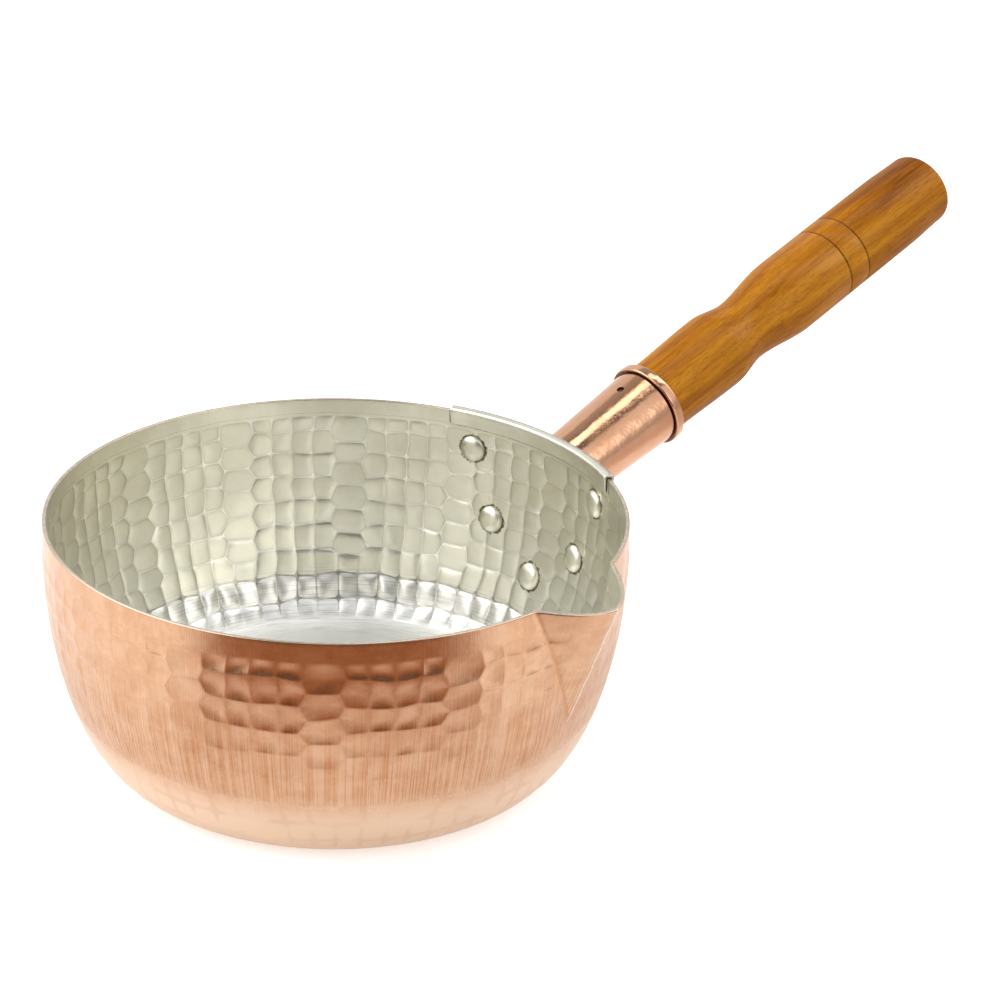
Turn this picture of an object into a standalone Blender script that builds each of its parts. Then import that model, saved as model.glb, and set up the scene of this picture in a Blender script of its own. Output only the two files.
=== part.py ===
"""Copper yukihira pan: a tinned copper bowl with one pouring lip and a riveted wooden handle.

Metres, +Z up. The origin is the centre of the flat base, on the surface that the pan stands on.
The handle leaves the bowl along +X and rises. The pouring lip is on the -Y side.
"""

import math

import bmesh
import bpy
from mathutils import Matrix, Vector

# Clearance left between two pieces that touch on the real pan
GAP = 0.0003

# Bowl: outside sizes and the thickness of the sheet
RIM_RADIUS = 0.0812
BOWL_HEIGHT = 0.0719
BOWL_SHEET = 0.0012
BAND_HEIGHT = 0.0120        # nearly straight band under the rim
BELLY_BULGE = 0.0004        # how far the foot of that band stands out beyond the rim
BASE_RADIUS = 0.0608        # flat disc that the pan stands on
WALL_POWER = 1.91           # roundness of the wall under the band, where 2 is an ellipse

# Pouring lip, a rounded V folded in the rim
LIP_ANGLE = -78.2           # degrees round from the handle
LIP_HALF_ANGLE = 13.2       # degrees from its middle to where it leaves the rim
LIP_REACH = 0.0112          # how far its tip stands out beyond the rim
LIP_DROP = 0.0025           # how far its tip lies below the rim
LIP_DEPTH = 0.0410          # how far down the fold runs
LIP_POWER = 1.5             # 1 is a sharp V, 2 is a parabola

# Handle axis: where it meets the rim's radius, and how steeply it rises
AXIS_DROP = 0.0166
HANDLE_TILT = 19.6

# Plate that hooks over the rim
PLATE_SHEET = 0.0008
PLATE_HALF_ANGLE = 24.6
PLATE_DEPTH = 0.0530
FLAP_DEPTH = 0.0045
FOLD_POWER = 3.0            # squareness of the bend over the rim, where 2 is round

# Rivets: degrees to each side of the handle, and depth below the rim
RIVET_UPPER_ANGLE = 19.2
RIVET_UPPER_DEPTH = 0.0115
RIVET_LOWER_ANGLE = 13.3
RIVET_LOWER_DEPTH = 0.0330
RIVET_BOTTOM_DEPTH = 0.0459
RIVET_SHANK_RADIUS = 0.0020
RIVET_HEAD_RADIUS = 0.0042
RIVET_HEAD_HEIGHT = 0.0020

# Socket: a cone round the handle axis, measured along it from the rim's radius
SOCKET_ROOT_RADIUS = 0.0105
SOCKET_MOUTH_RADIUS = 0.0125
SOCKET_LENGTH = 0.0450
SOCKET_SHEET = 0.0010

# Collar ring just past the socket's mouth
COLLAR_RADIUS = 0.01375
COLLAR_WIDTH = 0.0032
COLLAR_ROUND = 0.0005

# Wooden handle: radii, and stations measured along the axis from the rim's radius
TENON_START = 0.0080
NECK_RADIUS = 0.0119
SWELL_RADIUS = 0.0126
SWELL_STATION = 0.0780
WAIST_RADIUS = 0.0106
WAIST_STATION = 0.0909
GRIP_RADIUS = 0.0130
GRIP_STATION = 0.1133
BUTT_RADIUS = 0.0125
BUTT_STATION = 0.1861
BUTT_TAPER = 0.0190
BUTT_ROUND = 0.0030
GROOVE_STATIONS = (0.1322, 0.1414)
GROOVE_DEPTH = 0.0004
GROOVE_WIDTH = 0.0009

# Nail through the top of the socket into the tenon
NAIL_STATION = 0.0373
NAIL_RADIUS = 0.00085
NAIL_LENGTH = 0.0085
NAIL_SINK = 0.0006          # how far its top lies below the socket's surface

# Fineness of the meshes
BOWL_COLUMNS = 80
LIP_COLUMNS = 4             # columns on each side of the lip's middle
BAND_ROWS = 3
WALL_ROWS = 11
PLATE_COLUMNS = 16
PLATE_ROWS = 10
FOLD_ROWS = 6
TURN_STEPS = 36
SMALL_STEPS = 14
DOME_STEPS = 4
OUTLINE_STEPS = 8

# Colour, roughness and metallic value of each finish
COPPER = ((0.76, 0.42, 0.28, 1.0), 0.28, 1.0)
TIN = ((0.66, 0.65, 0.58, 1.0), 0.30, 1.0)
WOOD = ((0.42, 0.19, 0.045, 1.0), 0.35, 0.0)
STEEL = ((0.20, 0.18, 0.16, 1.0), 0.45, 1.0)


def clear_scene():
    for item in list(bpy.data.objects):
        bpy.data.objects.remove(item, do_unlink=True)


def make_material(name, finish):
    colour, roughness, metallic = finish
    material = bpy.data.materials.new(name)
    material.use_nodes = True
    shader = material.node_tree.nodes["Principled BSDF"]
    shader.inputs["Base Color"].default_value = colour
    shader.inputs["Roughness"].default_value = roughness
    shader.inputs["Metallic"].default_value = metallic
    material.diffuse_color = colour
    return material


def make_object(name, bm, finish=None, place=None):
    """Turn a bmesh into a smooth-shaded object with a material of its own."""
    mesh = bpy.data.meshes.new(name)
    bm.to_mesh(mesh)
    bm.free()
    mesh.shade_smooth()
    mesh.set_sharp_from_angle(angle=math.radians(35))
    item = bpy.data.objects.new(name, mesh)
    bpy.context.scene.collection.objects.link(item)
    if place is not None:
        item.matrix_world = place
    if finish is not None:
        mesh.materials.append(make_material(name, finish))
    return item


def make_cutter(item):
    item.hide_render = True
    item.display_type = "WIRE"
    return item


def cut(item, cutter):
    modifier = item.modifiers.new(cutter.name, "BOOLEAN")
    modifier.operation = "DIFFERENCE"
    modifier.solver = "EXACT"
    modifier.object = cutter


def thicken(item, thickness, side):
    """Give a sheet its thickness, on the side that its faces point to (1) or the other (-1)."""
    modifier = item.modifiers.new("Thickness", "SOLIDIFY")
    modifier.thickness = thickness
    modifier.offset = side
    modifier.use_even_offset = True


def turned(outline, steps, closed):
    """Spin an outline of (radius, height) points about Z.

    An open outline starts and ends on the axis and gives a solid piece.
    A closed one stays off the axis and gives a ring or a tube.
    """
    bm = bmesh.new()
    points = [bm.verts.new((radius, 0.0, height)) for radius, height in outline]
    pairs = list(zip(points, points[1:]))
    if closed:
        pairs.append((points[-1], points[0]))
    edges = [bm.edges.new(pair) for pair in pairs]
    bmesh.ops.spin(bm, geom=points + edges, cent=(0, 0, 0), axis=(0, 0, 1),
                   angle=2 * math.pi, steps=steps, use_duplicate=False)
    bmesh.ops.remove_doubles(bm, verts=bm.verts, dist=1e-6)
    bmesh.ops.recalc_face_normals(bm, faces=bm.faces)
    return bm


def sheet_grid(rows):
    """Join rows of points into a sheet of four-sided faces."""
    bm = bmesh.new()
    lines = [[bm.verts.new(point) for point in row] for row in rows]
    for upper, lower in zip(lines, lines[1:]):
        for k in range(len(upper) - 1):
            bm.faces.new((upper[k], upper[k + 1], lower[k + 1], lower[k]))
    return bm


def cylindrical(radius, angle, height):
    turn = math.radians(angle)
    return Vector((radius * math.cos(turn), radius * math.sin(turn), height))


# The bowl's wall as a curve of radius against height

BELLY_HEIGHT = BOWL_HEIGHT - BAND_HEIGHT
BELLY_RADIUS = RIM_RADIUS + BELLY_BULGE


def wall_radius(height):
    """Outside radius: a straight band under the rim, then a superellipse down to the base."""
    if height >= BELLY_HEIGHT:
        share = (BOWL_HEIGHT - height) / BAND_HEIGHT
        return RIM_RADIUS + BELLY_BULGE * share
    fall = 1.0 - max(height, 0.0) / BELLY_HEIGHT
    spread = (1.0 - fall ** WALL_POWER) ** (1.0 / WALL_POWER)
    return BASE_RADIUS + (BELLY_RADIUS - BASE_RADIUS) * spread


def wall_normal(height):
    """Outward normal of the wall as (radial, vertical)."""
    step = 0.0002
    low = max(height - step, step / 10)
    slope = (wall_radius(height + step) - wall_radius(low)) / (height + step - low)
    size = math.hypot(1.0, slope)
    return 1.0 / size, -slope / size


def beside_wall(height, distance):
    """Radius and height of the point that lies a distance outside the wall."""
    out, up = wall_normal(height)
    return wall_radius(height) + distance * out, height + distance * up


def wall_heights():
    """Heights of the bowl's rows, from the rim to the base."""
    band = [BOWL_HEIGHT - BAND_HEIGHT * k / BAND_ROWS for k in range(BAND_ROWS)]
    turns = [0.5 * math.pi * k / WALL_ROWS for k in range(WALL_ROWS + 1)]
    arc = [BELLY_HEIGHT * (1.0 - math.sin(turn) ** (2.0 / WALL_POWER)) for turn in turns]
    return band + arc


# Bowl

def lip_half_angle(depth):
    """The fold narrows in a straight line to a point at its lower end."""
    return LIP_HALF_ANGLE * max(1.0 - depth / LIP_DEPTH, 0.0)


def column_angle(column, depth):
    """Angle of a column from the lip's middle, with columns drawn in to follow the two creases."""
    step = 360.0 / BOWL_COLUMNS
    edge = LIP_COLUMNS * step
    crease = max(lip_half_angle(depth), 0.2 * LIP_HALF_ANGLE)
    plain = abs(column) * step
    if plain <= edge:
        angle = plain * crease / edge
    elif plain <= 2 * edge:
        angle = crease + (plain - edge) * (2 * edge - crease) / edge
    else:
        angle = plain
    return math.copysign(angle, column)


def bowl_point(angle, height):
    """Point of the outside at an angle from the lip's middle, with the lip drawn out."""
    depth = BOWL_HEIGHT - height
    radius = wall_radius(height)
    half = lip_half_angle(depth)
    if abs(angle) < half:
        fullness = 1.0 - (abs(angle) / half) ** LIP_POWER
        share = depth / LIP_DEPTH
        keel = (1.0 - share) * (RIM_RADIUS + LIP_REACH) + share * wall_radius(BOWL_HEIGHT - LIP_DEPTH)
        radius += fullness * max(keel - radius, 0.0)
        height -= fullness * LIP_DROP * (1.0 - share)
    return cylindrical(radius, LIP_ANGLE + angle, height)


def make_bowl(holes):
    first = -(BOWL_COLUMNS // 2)
    rows = []
    for height in wall_heights():
        depth = BOWL_HEIGHT - height
        angles = [column_angle(first + k, depth) for k in range(BOWL_COLUMNS + 1)]
        rows.append([bowl_point(angle, height) for angle in angles])
    bm = sheet_grid(rows)
    bmesh.ops.remove_doubles(bm, verts=bm.verts, dist=1e-6)
    lowest = [edge for edge in bm.edges if edge.is_boundary and edge.verts[0].co.z < GAP]
    bmesh.ops.contextual_create(bm, geom=lowest)
    bmesh.ops.recalc_face_normals(bm, faces=bm.faces)
    bowl = make_object("bowl", bm, COPPER)
    thicken(bowl, BOWL_SHEET, -1.0)
    cut(bowl, holes)
    return bowl


# Plate with its hook over the rim

def plate_half_angle(depth):
    """Shield outline: full width at the rim, drawn in to a rounded lower end."""
    share = min(max(depth / PLATE_DEPTH, 0.0), 1.0)
    return PLATE_HALF_ANGLE * (1.0 - share ** 2) ** 0.62


def plate_path():
    """Inner face of the plate from its foot, up the outside, over the rim and down the inside.

    Gives (radius, height, half angle) for each row.
    """
    path = []
    foot = 0.985 * PLATE_DEPTH
    for k in range(PLATE_ROWS + 1):
        share = 1.0 - k / PLATE_ROWS
        depth = foot * math.sin(0.5 * math.pi * share) if share > 0 else 0.0
        radius, height = beside_wall(BOWL_HEIGHT - depth, GAP)
        path.append((radius, height, plate_half_angle(depth)))
    middle = RIM_RADIUS - 0.5 * BOWL_SHEET
    for k in range(1, FOLD_ROWS + 1):
        turn = math.pi * k / FOLD_ROWS
        across = math.copysign(abs(math.cos(turn)) ** (2.0 / FOLD_POWER), math.cos(turn))
        rise = abs(math.sin(turn)) ** (2.0 / FOLD_POWER) if k < FOLD_ROWS else 0.0
        radius = middle + (0.5 * BOWL_SHEET + GAP) * across
        path.append((radius, BOWL_HEIGHT + 1.1 * GAP * rise, PLATE_HALF_ANGLE))
    for depth in (0.5 * FLAP_DEPTH, FLAP_DEPTH):
        radius, height = beside_wall(BOWL_HEIGHT - depth, -BOWL_SHEET - GAP)
        path.append((radius, height, PLATE_HALF_ANGLE))
    return path


def make_plate(holes):
    rows = []
    for radius, height, half in plate_path():
        shares = [2.0 * k / PLATE_COLUMNS - 1.0 for k in range(PLATE_COLUMNS + 1)]
        rows.append([cylindrical(radius, half * share, height) for share in shares])
    plate = make_object("handle_plate", sheet_grid(rows), COPPER)
    thicken(plate, PLATE_SHEET, 1.0)
    cut(plate, holes)
    return plate


# Rivets

def rivet_places():
    """Name, angle and depth of each rivet."""
    return (
        ("rivet_upper_left", RIVET_UPPER_ANGLE, RIVET_UPPER_DEPTH),
        ("rivet_upper_right", -RIVET_UPPER_ANGLE, RIVET_UPPER_DEPTH),
        ("rivet_lower_left", RIVET_LOWER_ANGLE, RIVET_LOWER_DEPTH),
        ("rivet_lower_right", -RIVET_LOWER_ANGLE, RIVET_LOWER_DEPTH),
        ("rivet_bottom", 0.0, RIVET_BOTTOM_DEPTH),
    )


def rivet_frame(angle, depth):
    """Frame on the bowl's outside with Z along the outward normal."""
    height = BOWL_HEIGHT - depth
    out, up = wall_normal(height)
    z_axis = cylindrical(out, angle, up)
    y_axis = cylindrical(1.0, angle + 90.0, 0.0)
    x_axis = y_axis.cross(z_axis)
    frame = Matrix((x_axis, y_axis, z_axis)).transposed().to_4x4()
    frame.translation = cylindrical(wall_radius(height), angle, height)
    return frame


def dome(seat, direction):
    """Half of a rivet head's outline, from its edge to its crown."""
    turns = [0.5 * math.pi * k / DOME_STEPS for k in range(DOME_STEPS + 1)]
    return [(RIVET_HEAD_RADIUS * math.cos(turn), seat + direction * RIVET_HEAD_HEIGHT * math.sin(turn))
            for turn in turns]


def make_rivet(name, angle, depth):
    inner_seat = -(BOWL_SHEET + GAP + 0.5 * RIVET_HEAD_RADIUS ** 2 / RIM_RADIUS)
    outer_seat = GAP + PLATE_SHEET + GAP
    outline = list(reversed(dome(inner_seat, -1.0)))
    outline += [(RIVET_SHANK_RADIUS, inner_seat), (RIVET_SHANK_RADIUS, outer_seat)]
    outline += dome(outer_seat, 1.0)
    outline[0] = (0.0, outline[0][1])
    outline[-1] = (0.0, outline[-1][1])
    bm = turned(outline, SMALL_STEPS, closed=False)
    return make_object(name, bm, TIN, rivet_frame(angle, depth))


def make_rivet_holes():
    """One cutter with a cylinder for each rivet, through bowl and plate."""
    bm = bmesh.new()
    reach = 2.0 * RIVET_HEAD_HEIGHT
    for _, angle, depth in rivet_places():
        bmesh.ops.create_cone(bm, cap_ends=True, segments=SMALL_STEPS,
                              radius1=RIVET_SHANK_RADIUS + GAP, radius2=RIVET_SHANK_RADIUS + GAP,
                              depth=2 * reach, matrix=rivet_frame(angle, depth))
    return make_cutter(make_object("rivet_holes", bm))


# Handle, whose pieces are turned about the handle axis

def handle_frame():
    """Z runs out along the handle, X is its upper side."""
    tilt = math.radians(HANDLE_TILT)
    along = Vector((math.cos(tilt), 0.0, math.sin(tilt)))
    above = Vector((-math.sin(tilt), 0.0, math.cos(tilt)))
    frame = Matrix((above, along.cross(above), along)).transposed().to_4x4()
    frame.translation = Vector((RIM_RADIUS, 0.0, BOWL_HEIGHT - AXIS_DROP))
    return frame


def socket_radius(station):
    return SOCKET_ROOT_RADIUS + (SOCKET_MOUTH_RADIUS - SOCKET_ROOT_RADIUS) * station / SOCKET_LENGTH


def make_bowl_shadow():
    """Solid that fills the bowl and its plate, to cut the socket's root to their curve."""
    heights = [0.5 * BELLY_HEIGHT * k / WALL_ROWS for k in range(1, 2 * WALL_ROWS + 1)]
    outline = [(0.0, heights[0])]
    outline += [beside_wall(height, GAP + PLATE_SHEET + GAP) for height in heights]
    top = BOWL_HEIGHT + BAND_HEIGHT
    outline += [(wall_radius(BOWL_HEIGHT) + GAP + PLATE_SHEET + GAP, top), (0.0, top)]
    return make_cutter(make_object("bowl_shadow", turned(outline, BOWL_COLUMNS, closed=False)))


def make_nail_hole():
    """Cutter through the socket's upper side and into the tenon."""
    low = socket_radius(NAIL_STATION) - NAIL_SINK - NAIL_LENGTH - GAP
    high = socket_radius(NAIL_STATION) + NAIL_LENGTH
    place = Matrix.Translation((0.5 * (low + high), 0.0, NAIL_STATION)) @ Matrix.Rotation(0.5 * math.pi, 4, "Y")
    bm = bmesh.new()
    bmesh.ops.create_cone(bm, cap_ends=True, segments=SMALL_STEPS, radius1=NAIL_RADIUS + GAP,
                          radius2=NAIL_RADIUS + GAP, depth=high - low, matrix=place)
    return make_cutter(make_object("nail_hole", bm, place=handle_frame()))


def make_socket(bowl_shadow, nail_hole):
    start = -SOCKET_ROOT_RADIUS
    outline = [
        (socket_radius(start), start),
        (socket_radius(start) - SOCKET_SHEET, start),
        (SOCKET_MOUTH_RADIUS - SOCKET_SHEET, SOCKET_LENGTH),
        (SOCKET_MOUTH_RADIUS, SOCKET_LENGTH),
    ]
    bm = turned(outline, TURN_STEPS, closed=True)
    socket = make_object("socket_cone", bm, COPPER, handle_frame())
    cut(socket, bowl_shadow)
    cut(socket, nail_hole)
    return socket


def make_collar():
    start = SOCKET_LENGTH + GAP
    end = start + COLLAR_WIDTH
    inner = NECK_RADIUS + GAP
    outline = [(inner, start)]
    for turn in (270, 300, 330, 360):
        angle = math.radians(turn)
        outline.append((COLLAR_RADIUS - COLLAR_ROUND * (1 - math.cos(angle)),
                        start + COLLAR_ROUND * (1 + math.sin(angle))))
    for turn in (0, 30, 60, 90):
        angle = math.radians(turn)
        outline.append((COLLAR_RADIUS - COLLAR_ROUND * (1 - math.cos(angle)),
                        end - COLLAR_ROUND * (1 - math.sin(angle))))
    outline.append((inner, end))
    return make_object("collar_ring", turned(outline, TURN_STEPS, closed=True), COPPER, handle_frame())


def eased(first, last, steps):
    """Points from one (radius, station) to another, level at both ends."""
    points = []
    for k in range(1, steps + 1):
        share = k / steps
        ease = share * share * (3.0 - 2.0 * share)
        points.append((first[0] + (last[0] - first[0]) * ease, first[1] + (last[1] - first[1]) * share))
    return points


def with_groove(station):
    """A thin V scored round the grip."""
    return [
        (GRIP_RADIUS, station - 0.5 * GROOVE_WIDTH),
        (GRIP_RADIUS - GROOVE_DEPTH, station),
        (GRIP_RADIUS, station + 0.5 * GROOVE_WIDTH),
    ]


def handle_outline():
    """Outline of the wood: tenon, neck, swell, waist, grip with two scored lines, rounded butt."""
    inside = SOCKET_SHEET + GAP
    neck_start = SOCKET_LENGTH + 0.5 * GAP
    neck = (NECK_RADIUS, neck_start + COLLAR_WIDTH)
    swell = (SWELL_RADIUS, SWELL_STATION)
    waist = (WAIST_RADIUS, WAIST_STATION)
    grip = (GRIP_RADIUS, GRIP_STATION)
    taper = (GRIP_RADIUS, BUTT_STATION - BUTT_TAPER)
    shoulder = (BUTT_RADIUS, BUTT_STATION - BUTT_ROUND)
    outline = [
        (0.0, TENON_START),
        (socket_radius(TENON_START) - inside, TENON_START),
        (SOCKET_MOUTH_RADIUS - inside, neck_start),
        (NECK_RADIUS, neck_start),
        neck,
    ]
    outline += eased(neck, swell, OUTLINE_STEPS // 2)
    outline += eased(swell, waist, OUTLINE_STEPS)
    outline += eased(waist, grip, OUTLINE_STEPS)
    for station in GROOVE_STATIONS:
        outline += with_groove(station)
    outline.append(taper)
    outline += eased(taper, shoulder, OUTLINE_STEPS // 2)
    for k in range(1, OUTLINE_STEPS // 2 + 1):
        turn = math.pi * k / OUTLINE_STEPS
        outline.append((BUTT_RADIUS - BUTT_ROUND * (1.0 - math.cos(turn)),
                        BUTT_STATION - BUTT_ROUND * (1.0 - math.sin(turn))))
    outline.append((0.0, BUTT_STATION))
    return outline


def make_wood(nail_hole):
    bm = turned(handle_outline(), TURN_STEPS, closed=False)
    wood = make_object("handle_wood", bm, WOOD, handle_frame())
    cut(wood, nail_hole)
    return wood


def make_nail():
    """Headless nail: a pin with a blunt point, driven in from above."""
    top = socket_radius(NAIL_STATION) - NAIL_SINK
    place = handle_frame() @ Matrix.Translation((top, 0.0, NAIL_STATION)) @ Matrix.Rotation(0.5 * math.pi, 4, "Y")
    outline = [
        (0.0, 0.0),
        (NAIL_RADIUS, 0.0),
        (NAIL_RADIUS, -(NAIL_LENGTH - 2 * NAIL_RADIUS)),
        (0.0, -NAIL_LENGTH),
    ]
    return make_object("handle_nail", turned(outline, SMALL_STEPS, closed=False), STEEL, place)


def build():
    clear_scene()
    rivet_holes = make_rivet_holes()
    make_bowl(rivet_holes)
    make_plate(rivet_holes)
    for name, angle, depth in rivet_places():
        make_rivet(name, angle, depth)
    nail_hole = make_nail_hole()
    make_socket(make_bowl_shadow(), nail_hole)
    make_collar()
    make_wood(nail_hole)
    make_nail()


build()
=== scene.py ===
# %% [markdown]
# # A hammered copper pan
#
# This lesson dresses the solid model of a yukihira pan: a hammered copper bowl, tinned
# inside, with one pouring lip and a wooden handle in a riveted copper socket. The solid
# model is loaded first and never moved. Each new piece is worked out with numpy in the same
# frame: metres, +Z up, the handle along +X, and the pan standing on Z = 0.

import math

import bmesh
import bpy
import numpy as np
from mathutils import Matrix, Vector


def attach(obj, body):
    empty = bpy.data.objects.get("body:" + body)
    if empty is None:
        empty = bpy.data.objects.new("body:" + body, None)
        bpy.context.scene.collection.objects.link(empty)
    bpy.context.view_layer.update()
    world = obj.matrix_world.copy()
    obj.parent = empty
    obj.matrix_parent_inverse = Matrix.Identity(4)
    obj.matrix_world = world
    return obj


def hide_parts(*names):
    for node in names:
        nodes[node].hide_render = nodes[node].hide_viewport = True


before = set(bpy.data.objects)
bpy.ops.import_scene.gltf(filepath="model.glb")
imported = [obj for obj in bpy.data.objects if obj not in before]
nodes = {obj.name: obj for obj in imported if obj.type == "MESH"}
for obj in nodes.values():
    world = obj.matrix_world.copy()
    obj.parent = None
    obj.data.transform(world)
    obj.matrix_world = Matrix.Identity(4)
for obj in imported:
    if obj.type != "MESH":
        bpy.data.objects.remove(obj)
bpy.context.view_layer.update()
print("nodes:", ", ".join(sorted(nodes)))

MM = 0.001
DEGREE = math.radians(1.0)

# %% [markdown]
# ## Sizes
#
# These are the sizes of the solid model, in millimetres and degrees. A dressed piece has to
# sit where its solid sits, so both are drawn from the same numbers.

# %% Sizes of the bowl, the lip, the plate and the handle
RIM_RADIUS = 81.2
BOWL_HEIGHT = 71.9
BOWL_SHEET = 1.2
BAND_HEIGHT = 12.0
BELLY_BULGE = 0.4
BASE_RADIUS = 60.8
WALL_POWER = 1.91

LIP_ANGLE = -78.2
LIP_HALF_ANGLE = 13.2
LIP_REACH = 11.2
LIP_DROP = 2.5
LIP_DEPTH = 41.0
LIP_POWER = 1.5

PLATE_HALF_ANGLE = 24.6
PLATE_DEPTH = 53.0
FLAP_DEPTH = 4.5

RIVETS = {
    "rivet_upper_left": (19.2, 11.5),
    "rivet_upper_right": (-19.2, 11.5),
    "rivet_lower_left": (13.3, 33.0),
    "rivet_lower_right": (-13.3, 33.0),
    "rivet_bottom": (0.0, 45.9),
}
RIVET_HEAD_RADIUS = 4.2
RIVET_HEAD_HEIGHT = 2.0
RIVET_SHANK_RADIUS = 2.0

AXIS_DROP = 16.6
HANDLE_TILT = 19.6
SOCKET_ROOT_RADIUS = 10.5
SOCKET_MOUTH_RADIUS = 12.5
SOCKET_LENGTH = 45.0
COLLAR_RADIUS = 13.75
COLLAR_WIDTH = 3.2
NECK_RADIUS = 11.9
NAIL_STATION = 37.3
SOCKET_SHEET = 0.95
RING_GAP = 0.35
TURN_POINTS = 96
print("rim", 2 * RIM_RADIUS, "mm across,", BOWL_HEIGHT, "mm high")

# %% [markdown]
# ## Turning arrays into meshes
#
# Nearly every piece here is a closed surface of revolution, or one that has been pushed out
# of round. So one helper is enough: it takes rows of points that run round an axis, joins
# each row to the next with four-sided faces, and closes the first and last row in a pole.
# The volume inside tells whether the faces point outwards, and turns them if they don't.

# %% A closed surface from rows of points
def grid_faces(rows, columns, closed_rows):
    """Corner numbers of the four-sided faces between rows of points that run round an axis."""
    row = np.arange(rows if closed_rows else rows - 1)[:, None]
    column = np.arange(columns)[None, :]
    after = (column + 1) % columns
    below = (row + 1) % rows
    corners = [row * columns + column, row * columns + after, below * columns + after,
               below * columns + column]
    return np.stack(np.broadcast_arrays(*corners), axis=-1).reshape(-1, 4)


def signed_volume(points, faces):
    """Six times the volume is the sum of the triple products of each face's two triangles."""
    a, b, c, d = (points[faces[:, k]] for k in range(4))
    return (np.sum(a * np.cross(b, c)) + np.sum(a * np.cross(c, d))) / 6.0


def surface_piece(name, grid, ends="pole", values=None, map_points=None):
    """Make a mesh from a grid of points in millimetres.

    The first and last row each close in a pole, or join each other in a ring, or are flat slits
    whose two sides are merged. The values are named numbers on the points, and map_points is a
    (u, v) for each point.
    """
    rows, columns = grid.shape[:2]
    points = grid.reshape(-1, 3) * MM
    faces = grid_faces(rows, columns, ends == "ring")
    flip = signed_volume(points, faces) < 0
    corners = faces.copy()
    loops = [faces[:, ::-1] if flip else faces]
    if ends == "pole":
        tops = np.array([grid[0].mean(axis=0), grid[-1].mean(axis=0)]) * MM
        points = np.vstack([points, tops])
        around = np.arange(columns)
        after = (around + 1) % columns
        first = np.stack([np.full(columns, rows * columns), after, around], axis=-1)
        last_row = (rows - 1) * columns
        last = np.stack([np.full(columns, rows * columns + 1), last_row + around, last_row + after],
                        axis=-1)
        caps = np.vstack([first, last])
        loops.append(caps[:, ::-1] if flip else caps)
    flat = np.concatenate([part.reshape(-1) for part in loops])
    sizes = np.concatenate([np.full(len(part), part.shape[1]) for part in loops])
    mesh = bpy.data.meshes.new(name)
    mesh.vertices.add(len(points))
    mesh.vertices.foreach_set("co", points.astype(np.float32).reshape(-1))
    mesh.loops.add(len(flat))
    mesh.loops.foreach_set("vertex_index", flat.astype(np.int32))
    mesh.polygons.add(len(sizes))
    starts = np.concatenate([[0], np.cumsum(sizes)[:-1]])
    mesh.polygons.foreach_set("loop_start", starts.astype(np.int32))
    mesh.update(calc_edges=True)
    mesh.shade_smooth()
    for title, numbers in (values or {}).items():
        poles = [numbers[0].mean(), numbers[-1].mean()] if ends == "pole" else []
        spread = np.concatenate([numbers.reshape(-1), poles])
        layer = mesh.attributes.new(title, "FLOAT", "POINT")
        layer.data.foreach_set("value", spread.astype(np.float32))
    if map_points is not None:
        write_map(mesh, map_points, corners, flip, columns)
    if ends == "slit":
        sheet = bmesh.new()
        sheet.from_mesh(mesh)
        bmesh.ops.remove_doubles(sheet, verts=sheet.verts, dist=1e-7)
        sheet.to_mesh(mesh)
        sheet.free()
    mesh.validate()
    piece = bpy.data.objects.new(name, mesh)
    bpy.context.scene.collection.objects.link(piece)
    print(name, len(mesh.polygons), "faces")
    return piece


def write_map(mesh, map_points, corners, flip, columns):
    """UV map whose u runs on past the seam, so that no face is stretched back across it."""
    u, v = map_points
    period = u[0, -1] + (u[0, -1] - u[0, -2]) - u[0, 0]
    across = corners[:, 1] % columns == 0
    u_corners = u.reshape(-1)[corners]
    u_corners[across, 1] += period
    u_corners[across, 2] += period
    v_corners = v.reshape(-1)[corners]
    if flip:
        u_corners, v_corners = u_corners[:, ::-1], v_corners[:, ::-1]
    uv = np.zeros((len(mesh.loops), 2), np.float32)
    count = corners.size
    uv[:count, 0] = u_corners.reshape(-1)
    uv[:count, 1] = v_corners.reshape(-1)
    uv[count:] = (u.reshape(-1)[0], v.reshape(-1)[-1])
    layer = mesh.uv_layers.new(name="surface")
    layer.data.foreach_set("uv", uv.reshape(-1))


def place(piece, slot, *replaced):
    """Every piece of this pan is fixed to every other, so all of them ride on one body."""
    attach(piece, "root")
    if replaced:
        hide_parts(*replaced)


# %% [markdown]
# ## The wall as a curve
#
# Seen from the side, the bowl is a nearly straight band under the rim, then a superellipse
# that rolls under into the flat base. Everything on the bowl is placed by two numbers: the
# angle round the axis, and the distance down the wall from the rim, measured along the
# metal. A table of that curve, with its outward normal, turns the two into a point.

# %% Table of the wall
BELLY_HEIGHT = BOWL_HEIGHT - BAND_HEIGHT
BELLY_RADIUS = RIM_RADIUS + BELLY_BULGE
BAND_STEPS = 80
BELLY_STEPS = 700


def wall_curve():
    """Radius and height from the rim to the centre of the base, closely spaced.

    Under the band, (1 - z / belly) ** p + ((r - base) / (belly radius - base)) ** p = 1.
    """
    band = np.linspace(0.0, 1.0, BAND_STEPS, endpoint=False)
    turn = np.linspace(0.0, 0.5 * math.pi, BELLY_STEPS)
    fall = np.sin(turn) ** (2.0 / WALL_POWER)
    spread = np.cos(turn) ** (2.0 / WALL_POWER)
    flat = np.linspace(1.0, 0.0, 120)[1:]
    radius = np.concatenate([RIM_RADIUS + BELLY_BULGE * band,
                             BASE_RADIUS + (BELLY_RADIUS - BASE_RADIUS) * spread,
                             BASE_RADIUS * flat])
    height = np.concatenate([BOWL_HEIGHT - BAND_HEIGHT * band, BELLY_HEIGHT * (1.0 - fall), 0.0 * flat])
    return radius, height


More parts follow.
